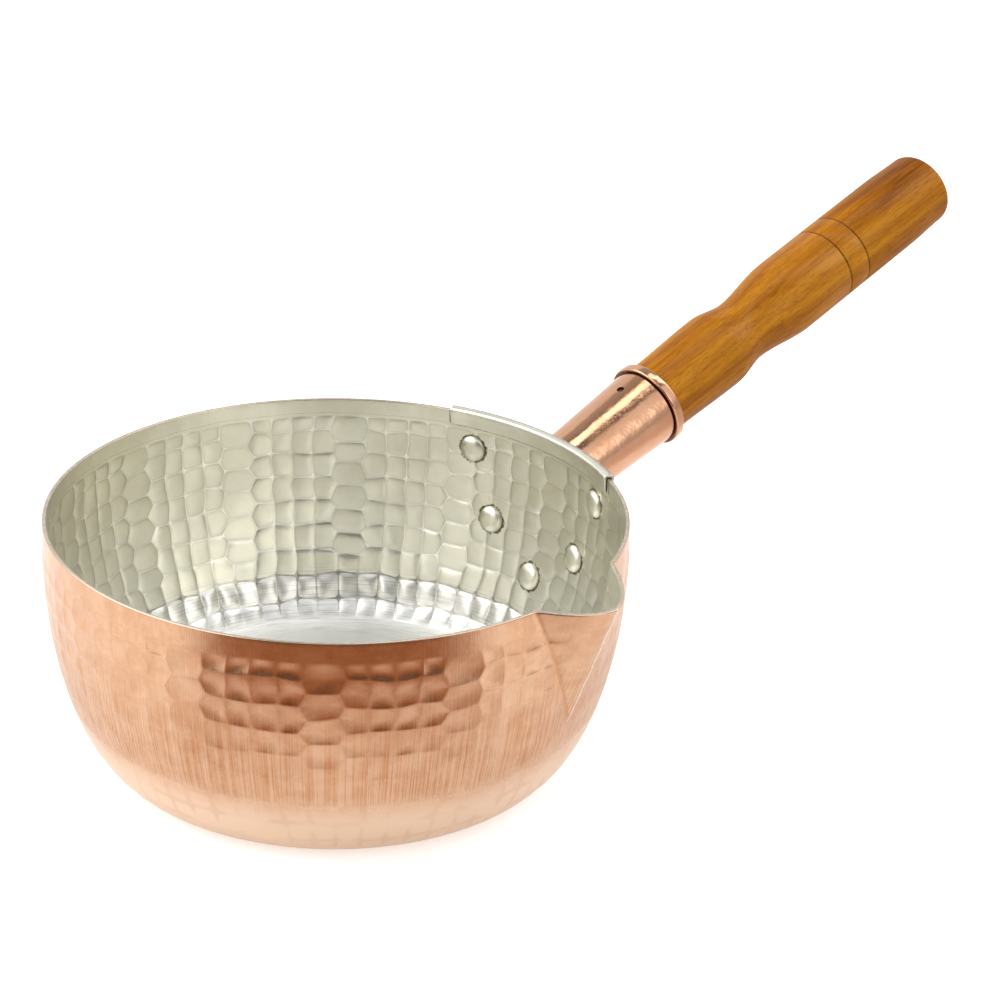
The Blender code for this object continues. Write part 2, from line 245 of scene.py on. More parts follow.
CURVE_RADIUS, CURVE_HEIGHT = wall_curve()
WALL_STEPS = BAND_STEPS + BELLY_STEPS - 1
CURVE_ARC = np.concatenate([[0.0], np.cumsum(np.hypot(np.diff(CURVE_RADIUS), np.diff(CURVE_HEIGHT)))])
slope_out = -np.gradient(CURVE_HEIGHT, CURVE_ARC)
slope_up = np.gradient(CURVE_RADIUS, CURVE_ARC)
slope_size = np.hypot(slope_out, slope_up)
CURVE_OUT, CURVE_UP = slope_out / slope_size, slope_up / slope_size
WALL_END = CURVE_ARC[WALL_STEPS]
ARC_END = CURVE_ARC[-1]
print("down the wall", round(WALL_END, 1), "mm, and on to the centre", round(ARC_END, 1), "mm")


def on_curve(arc):
    """Radius, height and outward normal at a distance down the metal."""
    return tuple(np.interp(arc, CURVE_ARC, table)
                 for table in (CURVE_RADIUS, CURVE_HEIGHT, CURVE_OUT, CURVE_UP))


def arc_at_depth(depth):
    """Distance down the metal of the point that lies this far below the rim."""
    return np.interp(depth, BOWL_HEIGHT - CURVE_HEIGHT[:WALL_STEPS], CURVE_ARC[:WALL_STEPS])


# %% [markdown]
# ## The pouring lip
#
# The lip was folded out of the round wall: a V in plan, with a rounded keel that runs
# straight from the tip down to the wall, and a crease on each side. The amount that a point
# is drawn out is a share of the way from the wall to the keel. The share is full on the
# keel and falls to nothing at the creases, which close in to a point at the lower end.

# %% Points of the sheet, with the lip drawn out
LIP_FOOT_RADIUS = np.interp(LIP_DEPTH, BOWL_HEIGHT - CURVE_HEIGHT[:WALL_STEPS], CURVE_RADIUS[:WALL_STEPS])


def keel_angle(angle):
    """Angle from the lip's keel in degrees, from -180 to 180."""
    return (angle - LIP_ANGLE + 180.0) % 360.0 - 180.0


def sheet_points(angle, arc, inward):
    """Points a distance inward of the bowl's outside, for grids of angle, arc and that distance."""
    radius, height, out, up = on_curve(arc)
    depth = BOWL_HEIGHT - height
    share = np.clip(depth / LIP_DEPTH, 0.0, 1.0)
    from_keel = keel_angle(angle)
    half = np.maximum(LIP_HALF_ANGLE * (1.0 - share), 1e-3)
    full = 1.0 - np.clip(np.abs(from_keel) / half, 0.0, 1.0) ** LIP_POWER
    keel = (1.0 - share) * (RIM_RADIUS + LIP_REACH) + share * LIP_FOOT_RADIUS
    radius = radius + full * np.maximum(keel - radius, 0.0)
    height = height - full * LIP_DROP * (1.0 - share)
    turn = np.radians(angle)
    surface = np.stack([radius * np.cos(turn), radius * np.sin(turn), height], axis=-1)
    plain = np.stack([out * np.cos(turn), out * np.sin(turn), up], axis=-1)
    near_lip = (np.abs(from_keel) < 1.6 * LIP_HALF_ANGLE) & (arc < 1.15 * LIP_DEPTH)
    normal = np.where(near_lip[..., None], grid_normal(surface), plain)
    return surface - normal * inward[..., None]


def grid_normal(surface):
    """Unit normals of a grid that closes round the axis, from differences of its neighbours."""
    around = np.roll(surface, -1, axis=1) - np.roll(surface, 1, axis=1)
    down = np.gradient(surface, axis=0)
    normal = np.cross(down, around)
    size = np.linalg.norm(normal, axis=-1, keepdims=True)
    normal = normal / np.maximum(size, 1e-9)
    outward = np.sum(normal[..., :2] * surface[..., :2], axis=-1, keepdims=True)
    return np.where(outward < 0.0, -normal, normal)


# %% [markdown]
# ## The hammer marks
#
# The bowl was beaten over a stake in columns: four narrow ones, then a wide one whose blows
# fall half a step lower, fourteen times round. The two lowest rows, at the bend, fall level
# in all columns. Each blow leaves a shallow dish outside and a pillow inside, and where two
# meet there is a crease.
#
# A crease is only sharp where mesh lines run along it. So the grid is laid out from the
# blows: its lines follow every crease, crowd together beside it and spread out between.
# Then the lines are pushed about a little, because no two blows fall quite alike.

# %% Lines of the hammer pattern
GROUPS = 14
COLUMNS_IN_GROUP = 5
GROUP_ANGLE = 360.0 / GROUPS
WIDE_ANGLE = 7.0
NARROW_ANGLE = (GROUP_ANGLE - WIDE_ANGLE) / (COLUMNS_IN_GROUP - 1)
FIRST_WIDE = 73.4
HAMMER_TOP = 5.7
HAMMER_END = 72.8
BEND_LINES = [58.0, 66.0, HAMMER_END]
NARROW_LINES = np.array([HAMMER_TOP, 10.3, 18.2, 26.0, 33.7, 41.4, 49.3] + BEND_LINES)
WIDE_LINES = np.array([HAMMER_TOP, 14.1, 21.7, 29.4, 37.1, 44.8, 52.2] + BEND_LINES)
ALL_LINES = np.unique(np.concatenate([NARROW_LINES, WIDE_LINES]))

random = np.random.default_rng(7)
column_widths = np.tile([WIDE_ANGLE] + [NARROW_ANGLE] * (COLUMNS_IN_GROUP - 1), GROUPS)
COLUMN_EDGES = FIRST_WIDE - 0.5 * WIDE_ANGLE + np.concatenate([[0.0], np.cumsum(column_widths)[:-1]])
COLUMN_COUNT = len(COLUMN_EDGES)
IS_WIDE = np.arange(COLUMN_COUNT) % COLUMNS_IN_GROUP == 0
print(COLUMN_COUNT, "columns and", len(NARROW_LINES) - 1, "rows of blows")


def pushed_lines():
    """How far each crossing of the pattern is pushed, in degrees and in millimetres.

    The wide columns have pointed sides: their edges stand out halfway up each blow and draw
    in where two of their blows meet. At the bend all columns are moved to the same width.
    """
    even = FIRST_WIDE + (np.arange(COLUMN_COUNT) - 0.5) * GROUP_ANGLE / COLUMNS_IN_GROUP
    shape = (len(ALL_LINES), COLUMN_COUNT)
    angle = random.uniform(-0.40, 0.40, shape)
    arc = random.uniform(-0.75, 0.75, shape)
    for line, at in enumerate(ALL_LINES):
        aligned = at in BEND_LINES or at == HAMMER_TOP
        on_narrow = at in NARROW_LINES
        point = 0.0 if aligned else (0.62 if on_narrow else -0.62)
        angle[line, IS_WIDE] -= point
        angle[line, np.roll(IS_WIDE, 1)] += point
        if at in BEND_LINES:
            angle[line] += even - COLUMN_EDGES
        if at in (HAMMER_TOP, HAMMER_END):
            arc[line] *= 0.3
    return angle, arc


PUSH_ANGLE, PUSH_ARC = pushed_lines()

# %% Spacing of the mesh between those lines
ACROSS = np.array([0.0, 0.05, 0.15, 0.32, 0.5, 0.68, 0.85, 0.95])
DOWN_SHORT = np.array([0.0, 0.09, 0.27, 0.5, 0.73, 0.91])
DOWN_LONG = np.array([0.0, 0.045, 0.13, 0.27, 0.42, 0.58, 0.73, 0.87, 0.955])


def mesh_angles():
    """Angle of each mesh column, with its blow's column and its place across it from 0 to 1."""
    column = np.repeat(np.arange(COLUMN_COUNT), len(ACROSS))
    across = np.tile(ACROSS, COLUMN_COUNT)
    return COLUMN_EDGES[column] + column_widths[column] * across, column, across


def mesh_arcs():
    """Distances down the metal of the hammered mesh rows, crowded beside every line."""
    rows = []
    for start, end in zip(ALL_LINES, ALL_LINES[1:]):
        steps = DOWN_LONG if end - start > 6.0 else DOWN_SHORT
        rows.append(start + (end - start) * steps)
    return np.concatenate(rows + [[HAMMER_END]])


MESH_ANGLE, MESH_COLUMN, MESH_ACROSS = mesh_angles()
HAMMER_ARC = mesh_arcs()
print(len(MESH_ANGLE), "mesh columns,", len(HAMMER_ARC), "mesh rows in the hammered part")


def pushed_grid(arcs):
    """Angle and arc of every mesh point, moved with the lines of the pattern around it."""
    following = (MESH_COLUMN + 1) % COLUMN_COUNT
    push = []
    for lines in (PUSH_ANGLE, PUSH_ARC):
        along = lines[:, MESH_COLUMN] * (1.0 - MESH_ACROSS) + lines[:, following] * MESH_ACROSS
        line = np.interp(arcs, ALL_LINES, np.arange(len(ALL_LINES)))
        low = np.clip(np.floor(line).astype(int), 0, len(ALL_LINES) - 2)
        part = (line - low)[:, None]
        inside = ((arcs >= HAMMER_TOP - 2.0) & (arcs <= HAMMER_END + 4.0))[:, None]
        push.append((along[low] * (1.0 - part) + along[low + 1] * part) * inside)
    return MESH_ANGLE[None, :] + push[0], arcs[:, None] + push[1]


# %% [markdown]
# A blow's own shape is a product of two arches, one across and one down, so it is level
# along its edges and meets its neighbours. The corners, where three or four blows meet, were
# struck by none of them and lie a little lower, which rounds each blow off. Each has its own
# strength and its own lean, which is what makes one glint while its neighbour stays dull.

# %% Height of the blows
CORNER_POWER = 3.0
ROUND_POWER = 6.0
COBBLE_POWER = 5.0
MEAN_RADIUS = 78.0
NO_CREASE = 4.0


def place_in_row(arcs, lines):
    """Row number of each arc between the lines, its place in the row from -1 to 1, and the row's length."""
    row = np.clip(np.searchsorted(lines, arcs, side="right") - 1, 0, len(lines) - 2)
    length = (lines[row + 1] - lines[row])[:, None]
    down = np.clip(2.0 * (arcs - lines[row])[:, None] / length - 1.0, -1.0, 1.0)
    return row, down, length


def rounded(across, down, power):
    """0 in the middle of a blow and 1 on its rounded outline: (|across|^n + |down|^n)^(1/n)."""
    return (np.abs(across) ** power + np.abs(down) ** power) ** (1.0 / power)


def blows(arcs, height, bend_height, corner, power, leaning, skew):
    """Height over the plain wall at each mesh point in mm, and the distance to the nearest crease.

    The height is strength * lean * (1 - |across|^p) * (1 - |down|^p), less a drop at the corners of
    |across|^q * |down|^q. Between a wide and a narrow column the corners come twice as often. The
    lean is 1 + skew * down and a random share more. At the bend each blow is a cobble,
    1 - rounded^2, and the foot of the last row was turned away.
    """
    across = 2.0 * MESH_ACROSS[None, :] - 1.0
    neighbour = (MESH_COLUMN + np.where(across[0] < 0.0, -1, 1)) % COLUMN_COUNT
    mixed_side = (IS_WIDE[neighbour] != IS_WIDE[MESH_COLUMN])[None, :]
    half_down = place_in_row(arcs, ALL_LINES)[1]
    at_bend = (arcs > BEND_LINES[0])[:, None]
    ends = np.clip(np.minimum(arcs - HAMMER_TOP, HAMMER_END - arcs) / 1.2, 0.0, 1.0)[:, None]
    result = np.zeros((len(arcs), len(MESH_ANGLE)))
    crease = np.full(result.shape, NO_CREASE)
    hammered = (arcs >= HAMMER_TOP) & (arcs <= HAMMER_END)
    for lines, wide in ((NARROW_LINES, False), (WIDE_LINES, True)):
        row, down, length = place_in_row(arcs, lines)
        arch = (1.0 - np.abs(across) ** power) * (1.0 - np.abs(down) ** power)
        side_lean, down_lean = (leaning * part[row][:, MESH_COLUMN] for part in LEANS)
        lean = 1.0 + side_lean * across + (skew + down_lean) * down
        turned = np.where((row == len(lines) - 2)[:, None], np.clip((down - 0.3) / 0.6, 0.0, 1.0), 0.0)
        rho = rounded(across, np.where(turned > 0.0, 0.0, down), COBBLE_POWER)
        arch = np.where(at_bend, np.clip(1.0 - rho ** 2, 0.0, 1.0) * (1.0 - turned) ** 1.5, arch)
        level = np.where(at_bend, bend_height, height) * STRENGTHS[row][:, MESH_COLUMN]
        corner_down = np.abs(np.where(mixed_side, half_down, down))
        drop = np.where(at_bend, 0.0, corner) * (np.abs(across) * corner_down) ** CORNER_POWER
        width = DEGREE * MEAN_RADIUS * column_widths[MESH_COLUMN][None, :]
        gap = 0.5 * np.minimum(width, length) * (1.0 - rounded(across, down, ROUND_POWER))
        gap = np.where(at_bend, 3.4 * (1.0 - rho) + 3.0 * turned, gap)
        here = hammered[:, None] & (IS_WIDE[MESH_COLUMN] == wide)[None, :]
        result = np.where(here, arch * lean * level - drop * ends, result)
        crease = np.where(here, gap, crease)
    return result, crease


blow_shape = (len(NARROW_LINES) - 1, COLUMN_COUNT)
STRENGTHS = random.uniform(0.7, 1.25, blow_shape)
LEANS = random.uniform(-0.35, 0.35, (2,) + blow_shape)

# %% [markdown]
# ## The bowl's two skins
#
# The bowl is one sheet of copper with a wiped coat of tin inside. The two metals look quite
# different and meet in a line at the rim, so each gets a skin of its own: copper for nearly
# the whole thickness, and a thin tin lining that turns over the rim's edge. Both are
# closed, and both take their shape from the same blows.

# %% Copper skin
RIM_DEGREE = DEGREE * RIM_RADIUS
FAR = 9.0
LAST_ROW = ARC_END - 0.4
DISH_DEPTH = 0.36
DISH_POWER = 2.0
COPPER_BACK, COPPER_BACK_TOP = 0.82, 0.4
COPPER_INSET = 0.06
COPPER_RIM = np.array([[0.0, 0.36], [0.02, 0.26], [0.10, 0.11], [0.24, 0.03], [0.45, 0.0], [1.2, 0.0]])


def floor_arcs():
    """Mesh rows of the plain part, from the last blows to the centre of the base."""
    return HAMMER_END + (LAST_ROW - HAMMER_END) * np.linspace(0.0, 1.0, 15)[1:] ** 0.8


def back_arcs(top):
    """Rows of a skin's hidden back: close together at the lip and the bend, few on the flat floor."""
    return np.concatenate([[top], np.linspace(2.0, 42.0, 19), np.linspace(45.0, 79.0, 12),
                           [100.0, LAST_ROW]])


def lip_calm(angle, arc):
    """1 on the round wall, less on the lip, whose blows were half flattened in the folding."""
    from_keel = keel_angle(angle)
    half = LIP_HALF_ANGLE * np.clip(1.0 - arc / LIP_DEPTH, 0.0, 1.0)
    return 1.0 - 0.62 * np.clip((half - np.abs(from_keel)) / 1.5 + 0.3, 0.0, 1.0)


def to_flap(angle, arc):
    """Distance in mm outside the plate's flap, which covers a strip of the rim."""
    sideways = RIM_DEGREE * (np.abs((angle + 180.0) % 360.0 - 180.0) - PLATE_HALF_ANGLE)
    below = arc - FLAP_DEPTH
    return np.clip(np.maximum(sideways, below), -FAR, FAR)


def past_ends(angle, arc):
    """Distances in mm sideways past the flap's two ends, and FAR below the flap."""
    turned = (angle + 180.0) % 360.0 - 180.0
    ends = (RIM_DEGREE * (side * turned - PLATE_HALF_ANGLE) for side in (1.0, -1.0))
    return tuple(np.where(arc < FLAP_DEPTH + 0.3, np.clip(end, -FAR, FAR), FAR) for end in ends)


def to_folds(angle, arc):
    """Distances in mm past the lip's keel and past its creases, on either side of zero there."""
    from_keel = keel_angle(angle)
    depth = BOWL_HEIGHT - on_curve(arc)[1]
    half = LIP_HALF_ANGLE * (1.0 - depth / LIP_DEPTH)
    keel = np.where(half > 0.0, from_keel, FAR)
    crease = np.where(half > -0.5, np.abs(from_keel) - half, FAR)
    return tuple(np.clip(gap * RIM_DEGREE, -FAR, FAR) for gap in (keel, crease))


def around_map(angle, arc):
    """UV in centimetres: round the rim, and down the metal."""
    return RIM_DEGREE * angle * 0.1, arc * 0.1 + 0.0 * angle


def bowl_skin(name, angle, arc, front, crease, back_top, back_depth, values):
    """Close a skin: its front rows from the centre to the rim, then a plain back at one depth.

    The values are a function of the whole grid, its angles and its arcs.
    """
    back_angle, back_arc = pushed_grid(back_arcs(back_top))
    back = sheet_points(back_angle, back_arc, np.full(back_angle.shape, back_depth))
    grid, angle, arc, crease = (np.concatenate([face[::-1], rear]) for face, rear in (
        (front, back), (angle, back_angle), (arc, back_arc), (crease, np.full(back_angle.shape, NO_CREASE))))
    values = {"crease": crease, "down": arc, **values(grid, angle, arc)}
    return surface_piece(name, grid, values=values, map_points=around_map(angle, arc))


def copper_values(grid, angle, arc):
    to_keel, to_fold = to_folds(angle, arc)
    return {"to_keel": to_keel, "to_fold": to_fold}


def copper_skin():
    """Outside of the bowl: dished by the blows, which brushing wore shallower towards the foot."""
    band = np.array([2.4, 3.6, 4.6, 5.3])
    arcs = np.concatenate([COPPER_RIM[:, 0], band, HAMMER_ARC, floor_arcs()])
    turned = np.concatenate([COPPER_RIM[:, 1], np.zeros(len(arcs) - len(COPPER_RIM))])[:, None]
    dish, crease = blows(arcs, DISH_DEPTH, 0.9 * DISH_DEPTH, 0.03, DISH_POWER, 1.0, 0.65)
    angle, arc = pushed_grid(arcs)
    worn = np.interp(arcs, [0.0, 22.0, 42.0, 55.0, 80.0], [1.0, 1.0, 0.60, 0.30, 0.5])[:, None]
    outside = sheet_points(angle, arc, COPPER_INSET + turned + dish * worn * lip_calm(angle, arc))
    return bowl_skin("bowl_copper", angle, arc, outside, crease, COPPER_BACK_TOP, COPPER_BACK, copper_values)


bowl_copper = copper_skin()
place(bowl_copper, "copper", "bowl")

# %% Tin lining
TIN_RIM = np.array([[0.30, 0.34], [0.01, 0.34], [-0.01, 0.42], [-0.01, 0.75], [0.02, 0.94], [0.10, 1.09],
                    [0.24, 1.17], [0.45, 1.2]])
TIN_BACK, TIN_BACK_TOP = 0.84, 0.45
PILLOW_HEIGHT = 0.26
PILLOW_POWER = 3.2
BEND_HEIGHT = 0.62
RIVET_REACH = 20.0


def rivet_axes(angle, depth):
    """Where a rivet's axis meets the outside of the wall, and its three axes as rows."""
    radius, height, out, up = (float(x) for x in on_curve(arc_at_depth(depth)))
    turn = math.radians(angle)
    z_axis = np.array([out * math.cos(turn), out * math.sin(turn), up])
    y_axis = np.array([-math.sin(turn), math.cos(turn), 0.0])
    origin = np.array([radius * math.cos(turn), radius * math.sin(turn), height])
    return origin, np.array([np.cross(y_axis, z_axis), y_axis, z_axis])


def to_rivets(points):
    """Distance in mm from each point of a grid to the axis of the nearest rivet, cut off when far."""
    gaps = []
    for angle, depth in RIVETS.values():
        origin, axes = rivet_axes(angle, depth)
        local = (points - origin) @ axes.T
        gap = np.linalg.norm(local[..., :2], axis=-1)
        gaps.append(np.where(np.abs(local[..., 2]) > FAR, RIVET_REACH, gap))
    return np.minimum(np.min(gaps, axis=0), RIVET_REACH)


def tin_values(grid, angle, arc):
    left_end, right_end = past_ends(angle, arc)
    return {"to_rivet": to_rivets(grid), "to_flap": to_flap(angle, arc), "left_end": left_end,
            "right_end": right_end}


def tin_skin():
    """Inside of the bowl: one sheet in from the outside, with a pillow where each blow fell."""
    band = np.array([0.9, 1.6, 2.4, 3.3, 4.2, 5.0, 5.4])
    arcs = np.concatenate([TIN_RIM[:, 0], band, HAMMER_ARC, floor_arcs()])
    depth = np.concatenate([TIN_RIM[:, 1], np.full(len(arcs) - len(TIN_RIM), BOWL_SHEET)])
    pillow, crease = blows(arcs, PILLOW_HEIGHT, BEND_HEIGHT, 0.14, PILLOW_POWER, 2.0, 0.0)
    angle, arc = pushed_grid(arcs)
    inside = sheet_points(angle, arc, depth[:, None] + pillow * lip_calm(angle, arc))
    return bowl_skin("bowl_tin", angle, arc, inside, crease, TIN_BACK_TOP, TIN_BACK, tin_values)


bowl_tin = tin_skin()
place(bowl_tin, "tin", "bowl")

# %% [markdown]
# ## The plate behind the bowl
#
# The plate is a shield of copper sheet that lies against the outside, is riveted there, and
# hooks over the rim. It is one strip followed from its foot up the wall, over the rim and a
# little way down inside. The strip's rows run along it and its cross section goes round its
# two faces, so here the "axis" of the grid is the strip itself.

# %% Plate with its hook
PLATE_SHEET = 1.0
PLATE_SEAT = 0.04
EDGE_STEPS = np.array([0.0, 0.04, 0.12, 0.24, 0.42])
FOLD_POWER = 3.0
FACE_POINTS, EDGE_POINTS = 61, 5


def plate_line():
    """Inner face of the strip: radius, height, normal and half angle, from the foot to the flap."""
    depth = 0.985 * PLATE_DEPTH * np.sin(0.5 * math.pi * np.linspace(1.0, 0.0, 36))
    depth = np.concatenate([depth[0] - EDGE_STEPS, depth[2:]])
    radius, height, out, up = on_curve(arc_at_depth(depth))
    half = PLATE_HALF_ANGLE * (1.0 - np.clip(depth / PLATE_DEPTH, 0.0, 1.0) ** 2) ** 0.62
    radius, height = radius + PLATE_SEAT * out, height + PLATE_SEAT * up
    turn = np.linspace(0.0, math.pi, 25)[1:]
    cosine, sine = np.cos(turn), np.clip(np.sin(turn), 0.0, 1.0)
    reach = 0.5 * BOWL_SHEET + PLATE_SEAT
    over_radius = RIM_RADIUS - 0.5 * BOWL_SHEET + reach * np.sign(cosine) * np.abs(cosine) ** (2 / FOLD_POWER)
    over_height = BOWL_HEIGHT + 0.1 * sine ** (2 / FOLD_POWER)
    down = np.concatenate([np.linspace(0.0, FLAP_DEPTH - 0.6, 9)[1:], FLAP_DEPTH - EDGE_STEPS[::-1]])
    in_radius, in_height, in_out, in_up = on_curve(down)
    in_radius = in_radius - (BOWL_SHEET + PLATE_SEAT) * in_out
    in_height = in_height - (BOWL_SHEET + PLATE_SEAT) * in_up
    line = np.stack([np.concatenate([radius, over_radius, in_radius]),
                     np.concatenate([height, over_height, in_height])], axis=-1)
    half = np.concatenate([half, np.full(len(turn) + len(down), PLATE_HALF_ANGLE)])
    return line, half, len(depth) - 1


def line_normal(line):
    """Normal of a line in the radius and height plane, pointing to the bowl's outside."""
    step = np.gradient(line, axis=0)
    normal = np.stack([step[:, 1], -step[:, 0]], axis=-1)
    return normal / np.linalg.norm(normal, axis=-1, keepdims=True)


def plate_skin():
    """The strip's two faces lie from 0 to 1 sheet off its line, and all four edges are half round."""
    line, half, rim = plate_line()
    normal = line_normal(line)
    along = np.concatenate([[0.0], np.cumsum(np.linalg.norm(np.diff(line, axis=0), axis=1))])
    to_rim = along - along[rim]
    thickness = PLATE_SHEET * np.interp(to_rim, [0.0, 2.0, 3.5, 6.0], [1.0, 0.8, 0.55, 0.40])
    to_end = np.minimum(along, along[-1] - along)
    round_end = np.sqrt(np.clip(1.0 - (1.0 - np.clip(to_end / EDGE_STEPS[-1], 0.0, 1.0)) ** 2, 0.0, 1.0))
    across = np.linspace(-1.0, 1.0, FACE_POINTS)
    edge = np.linspace(0.0, math.pi, EDGE_POINTS + 2)[1:-1]
    face, end = np.ones(FACE_POINTS), np.ones(EDGE_POINTS)
    side = np.concatenate([across, end, across[::-1], -end])
    level = np.concatenate([face, np.cos(edge), -face, -np.cos(edge)])
    bulge = np.concatenate([0.0 * face, np.sin(edge), 0.0 * face, -np.sin(edge)])
    off = 0.5 * thickness[:, None] * (1.0 + level[None, :] * round_end[:, None])
    points = line[:, None, :] + normal[:, None, :] * off[..., None]
    out = 0.5 * (thickness * round_end)[:, None] * bulge[None, :]
    turn = np.radians(half[:, None] * side[None, :]) + out / RIM_RADIUS
    grid = np.stack([points[..., 0] * np.cos(turn), points[..., 0] * np.sin(turn), points[..., 1]], axis=-1)
    values = {"tinned": np.clip((to_rim + 1.6) / 1.6, 0.0, 1.0)[:, None] + 0.0 * turn,
              "to_rim": to_rim[:, None] + 0.0 * turn}
    return surface_piece("plate_copper", grid, ends="slit", values=values)


plate_copper = plate_skin()
place(plate_copper, "copper", "handle_plate")

# %% [markdown]
# ## Rivets
#
# Each rivet has a low domed head on both sides. A head is a quarter ellipse turned round
# the rivet's own axis, with a slightly flattened crown from the hammer. The rivet's frame
# stands on the wall, with its third axis along the wall's normal.

# %% Turned pieces
def turned_grid(radii, stations, steps):
    """Rows of points round the Z axis, one row for each radius and station."""
    turn = np.linspace(0.0, 2.0 * math.pi, steps, endpoint=False)
    return np.stack([radii[:, None] * np.cos(turn), radii[:, None] * np.sin(turn),
                     stations[:, None] + 0.0 * turn], axis=-1)


def in_frame(grid, origin, axes):
    """The same points in another frame, whose three axes are the rows of a matrix."""
    return origin + grid @ axes


def rivet(name, angle, depth, seed):
    """A dome inside, a straight shank, and a dome outside on the plate."""
    dice = np.random.default_rng(seed)
    turn = np.linspace(0.0, 0.5 * math.pi, 14)
    inner_seat = -(BOWL_SHEET + 0.12)
    outer_seat = PLATE_SHEET + PLATE_SEAT
    crown = RIVET_HEAD_HEIGHT * (np.sin(turn) ** 0.9)
    head = RIVET_HEAD_RADIUS * np.cos(turn) ** 0.95
    under = RIVET_HEAD_RADIUS * 0.97
    middle = [under, RIVET_SHANK_RADIUS, RIVET_SHANK_RADIUS, under]
    radii = np.concatenate([head[::-1][1:], middle, head[:-1]])
    stations = np.concatenate([(inner_seat - crown)[::-1][1:],
                               [inner_seat + 0.25, inner_seat + 0.3, outer_seat - 0.3, outer_seat - 0.25],
                               (outer_seat + crown)[:-1]])
    grid = turned_grid(radii, stations, 48)
    facets = np.zeros(grid.shape[:2])
    for _ in range(6):
        heading, reach = dice.uniform(0, 2 * math.pi), dice.uniform(0.4, 2.6)
        spot = np.array([reach * math.cos(heading), reach * math.sin(heading)])
        gap = np.linalg.norm(grid[..., :2] - spot, axis=-1)
        facets += dice.uniform(0.02, 0.05) * np.exp(-(gap / dice.uniform(0.7, 1.3)) ** 2)
    side = np.sign(grid[..., 2])
    grid[..., 2] -= side * facets
    return surface_piece(name, in_frame(grid, *rivet_axes(angle, depth)), values={"outer": side})


rivets = {}
for seed, (node, (angle, depth)) in enumerate(RIVETS.items()):
    rivets[node] = rivet(node + "_head", angle, depth, 20 + seed)
    place(rivets[node], "tin", node)

# %% [markdown]
# ## Socket, ring and wood
#
# These are turned about the handle's axis, which leaves the wall and rises at 19.6 degrees.
# The socket is a tapered tube. Its root follows the plate's curve, with a small fillet of
# braze, so the root row of the grid is moved along the axis until it meets the wall.

# %% Handle frame and the outlines of the pieces on it
tilt = math.radians(HANDLE_TILT)
HANDLE_AXES = np.array([[-math.sin(tilt), 0.0, math.cos(tilt)], [0.0, -1.0, 0.0],
                        [math.cos(tilt), 0.0, math.sin(tilt)]])
HANDLE_ORIGIN = np.array([RIM_RADIUS, 0.0, BOWL_HEIGHT - AXIS_DROP])


def socket_radius(station):
    """The taper: radius at a distance along the handle."""
    return SOCKET_ROOT_RADIUS + (SOCKET_MOUTH_RADIUS - SOCKET_ROOT_RADIUS) * station / SOCKET_LENGTH


def root_station(radius, heading):
    """Where a line along the handle, at this radius and heading, meets the plate's outside."""
    start = HANDLE_ORIGIN + radius[..., None] * (np.cos(heading)[..., None] * HANDLE_AXES[0]
                                                 + np.sin(heading)[..., None] * HANDLE_AXES[1])
    station = np.zeros(radius.shape)
    for _ in range(12):
        point = start + station[..., None] * HANDLE_AXES[2]
        depth = np.clip(BOWL_HEIGHT - point[..., 2], 0.0, BOWL_HEIGHT)
        surface = on_curve(arc_at_depth(depth))[0] + PLATE_SHEET + PLATE_SEAT
        miss = surface - np.hypot(point[..., 0], point[..., 1])
        station = station + miss / math.cos(tilt)
    return station


def socket_skin():
    """Rows of the tube: the fillet at the root, the taper, the mouth's edge, and back inside."""
    heading = np.linspace(0.0, 2.0 * math.pi, TURN_POINTS, endpoint=False)
    flare = np.array([1.5, 1.0, 0.62, 0.34, 0.14, 0.03, 0.0])
    rise = np.array([-0.05, 0.10, 0.32, 0.66, 1.1, 1.7, 2.4])
    rows = []
    for out, lift in zip(flare, rise):
        radius = socket_radius(0.0) + out + 0.0 * heading
        rows.append((radius, root_station(radius, heading) + lift))
    ends = np.concatenate([np.linspace(0.08, 0.985, 26), [1.0, 1.0]])
    for k, part in enumerate(ends):
        start = rows[6][1]
        station = start + (SOCKET_LENGTH - start) * part
        rounding = {len(ends) - 1: 0.25}.get(k, 0.0)
        rows.append((socket_radius(station) - rounding, station))
    inner = socket_radius(SOCKET_LENGTH) - SOCKET_SHEET
    rows.append((inner + 0.0 * heading, np.full(TURN_POINTS, SOCKET_LENGTH)))
    root = socket_radius(0.0) - SOCKET_SHEET + 0.0 * heading
    rows.append((root, root_station(root, heading)))
    radii, stations = (np.array(part) for part in zip(*rows))
    grid = np.stack([radii * np.cos(heading), radii * np.sin(heading), stations], axis=-1)
    u = np.degrees(heading)[None, :] * 0.02 + 0.0 * stations
    return surface_piece("socket_copper", in_frame(grid, HANDLE_ORIGIN, HANDLE_AXES), ends="ring",
                         map_points=(u, stations * 0.1))


socket_copper = socket_skin()

# %% Nail hole in the socket
def drill(piece, radius, station, low, high):
    """Cut a round hole through the upper side of a piece on the handle's axis."""
    grid = turned_grid(np.array([radius, radius]), np.array([low, high]), 40)
    turned = np.stack([grid[..., 2], grid[..., 0], grid[..., 1] + station], axis=-1)
    cutter = surface_piece("cutter", in_frame(turned, HANDLE_ORIGIN, HANDLE_AXES))
    modifier = piece.modifiers.new("hole", "BOOLEAN")
    modifier.object, modifier.solver = cutter, "EXACT"
    bpy.context.view_layer.update()
    cut = bpy.data.meshes.new_from_object(piece.evaluated_get(bpy.context.evaluated_depsgraph_get()))
    piece.modifiers.clear()
    piece.data = cut
    bpy.data.objects.remove(cutter)
    cut.shade_smooth()
    cut.set_sharp_from_angle(angle=math.radians(40))
    print(piece.name, "drilled,", len(cut.polygons), "faces")


NAIL_HOLE_RADIUS = 1.15
drill(socket_copper, NAIL_HOLE_RADIUS, NAIL_STATION, 8.0, 16.0)
place(socket_copper, "copper", "socket_cone")

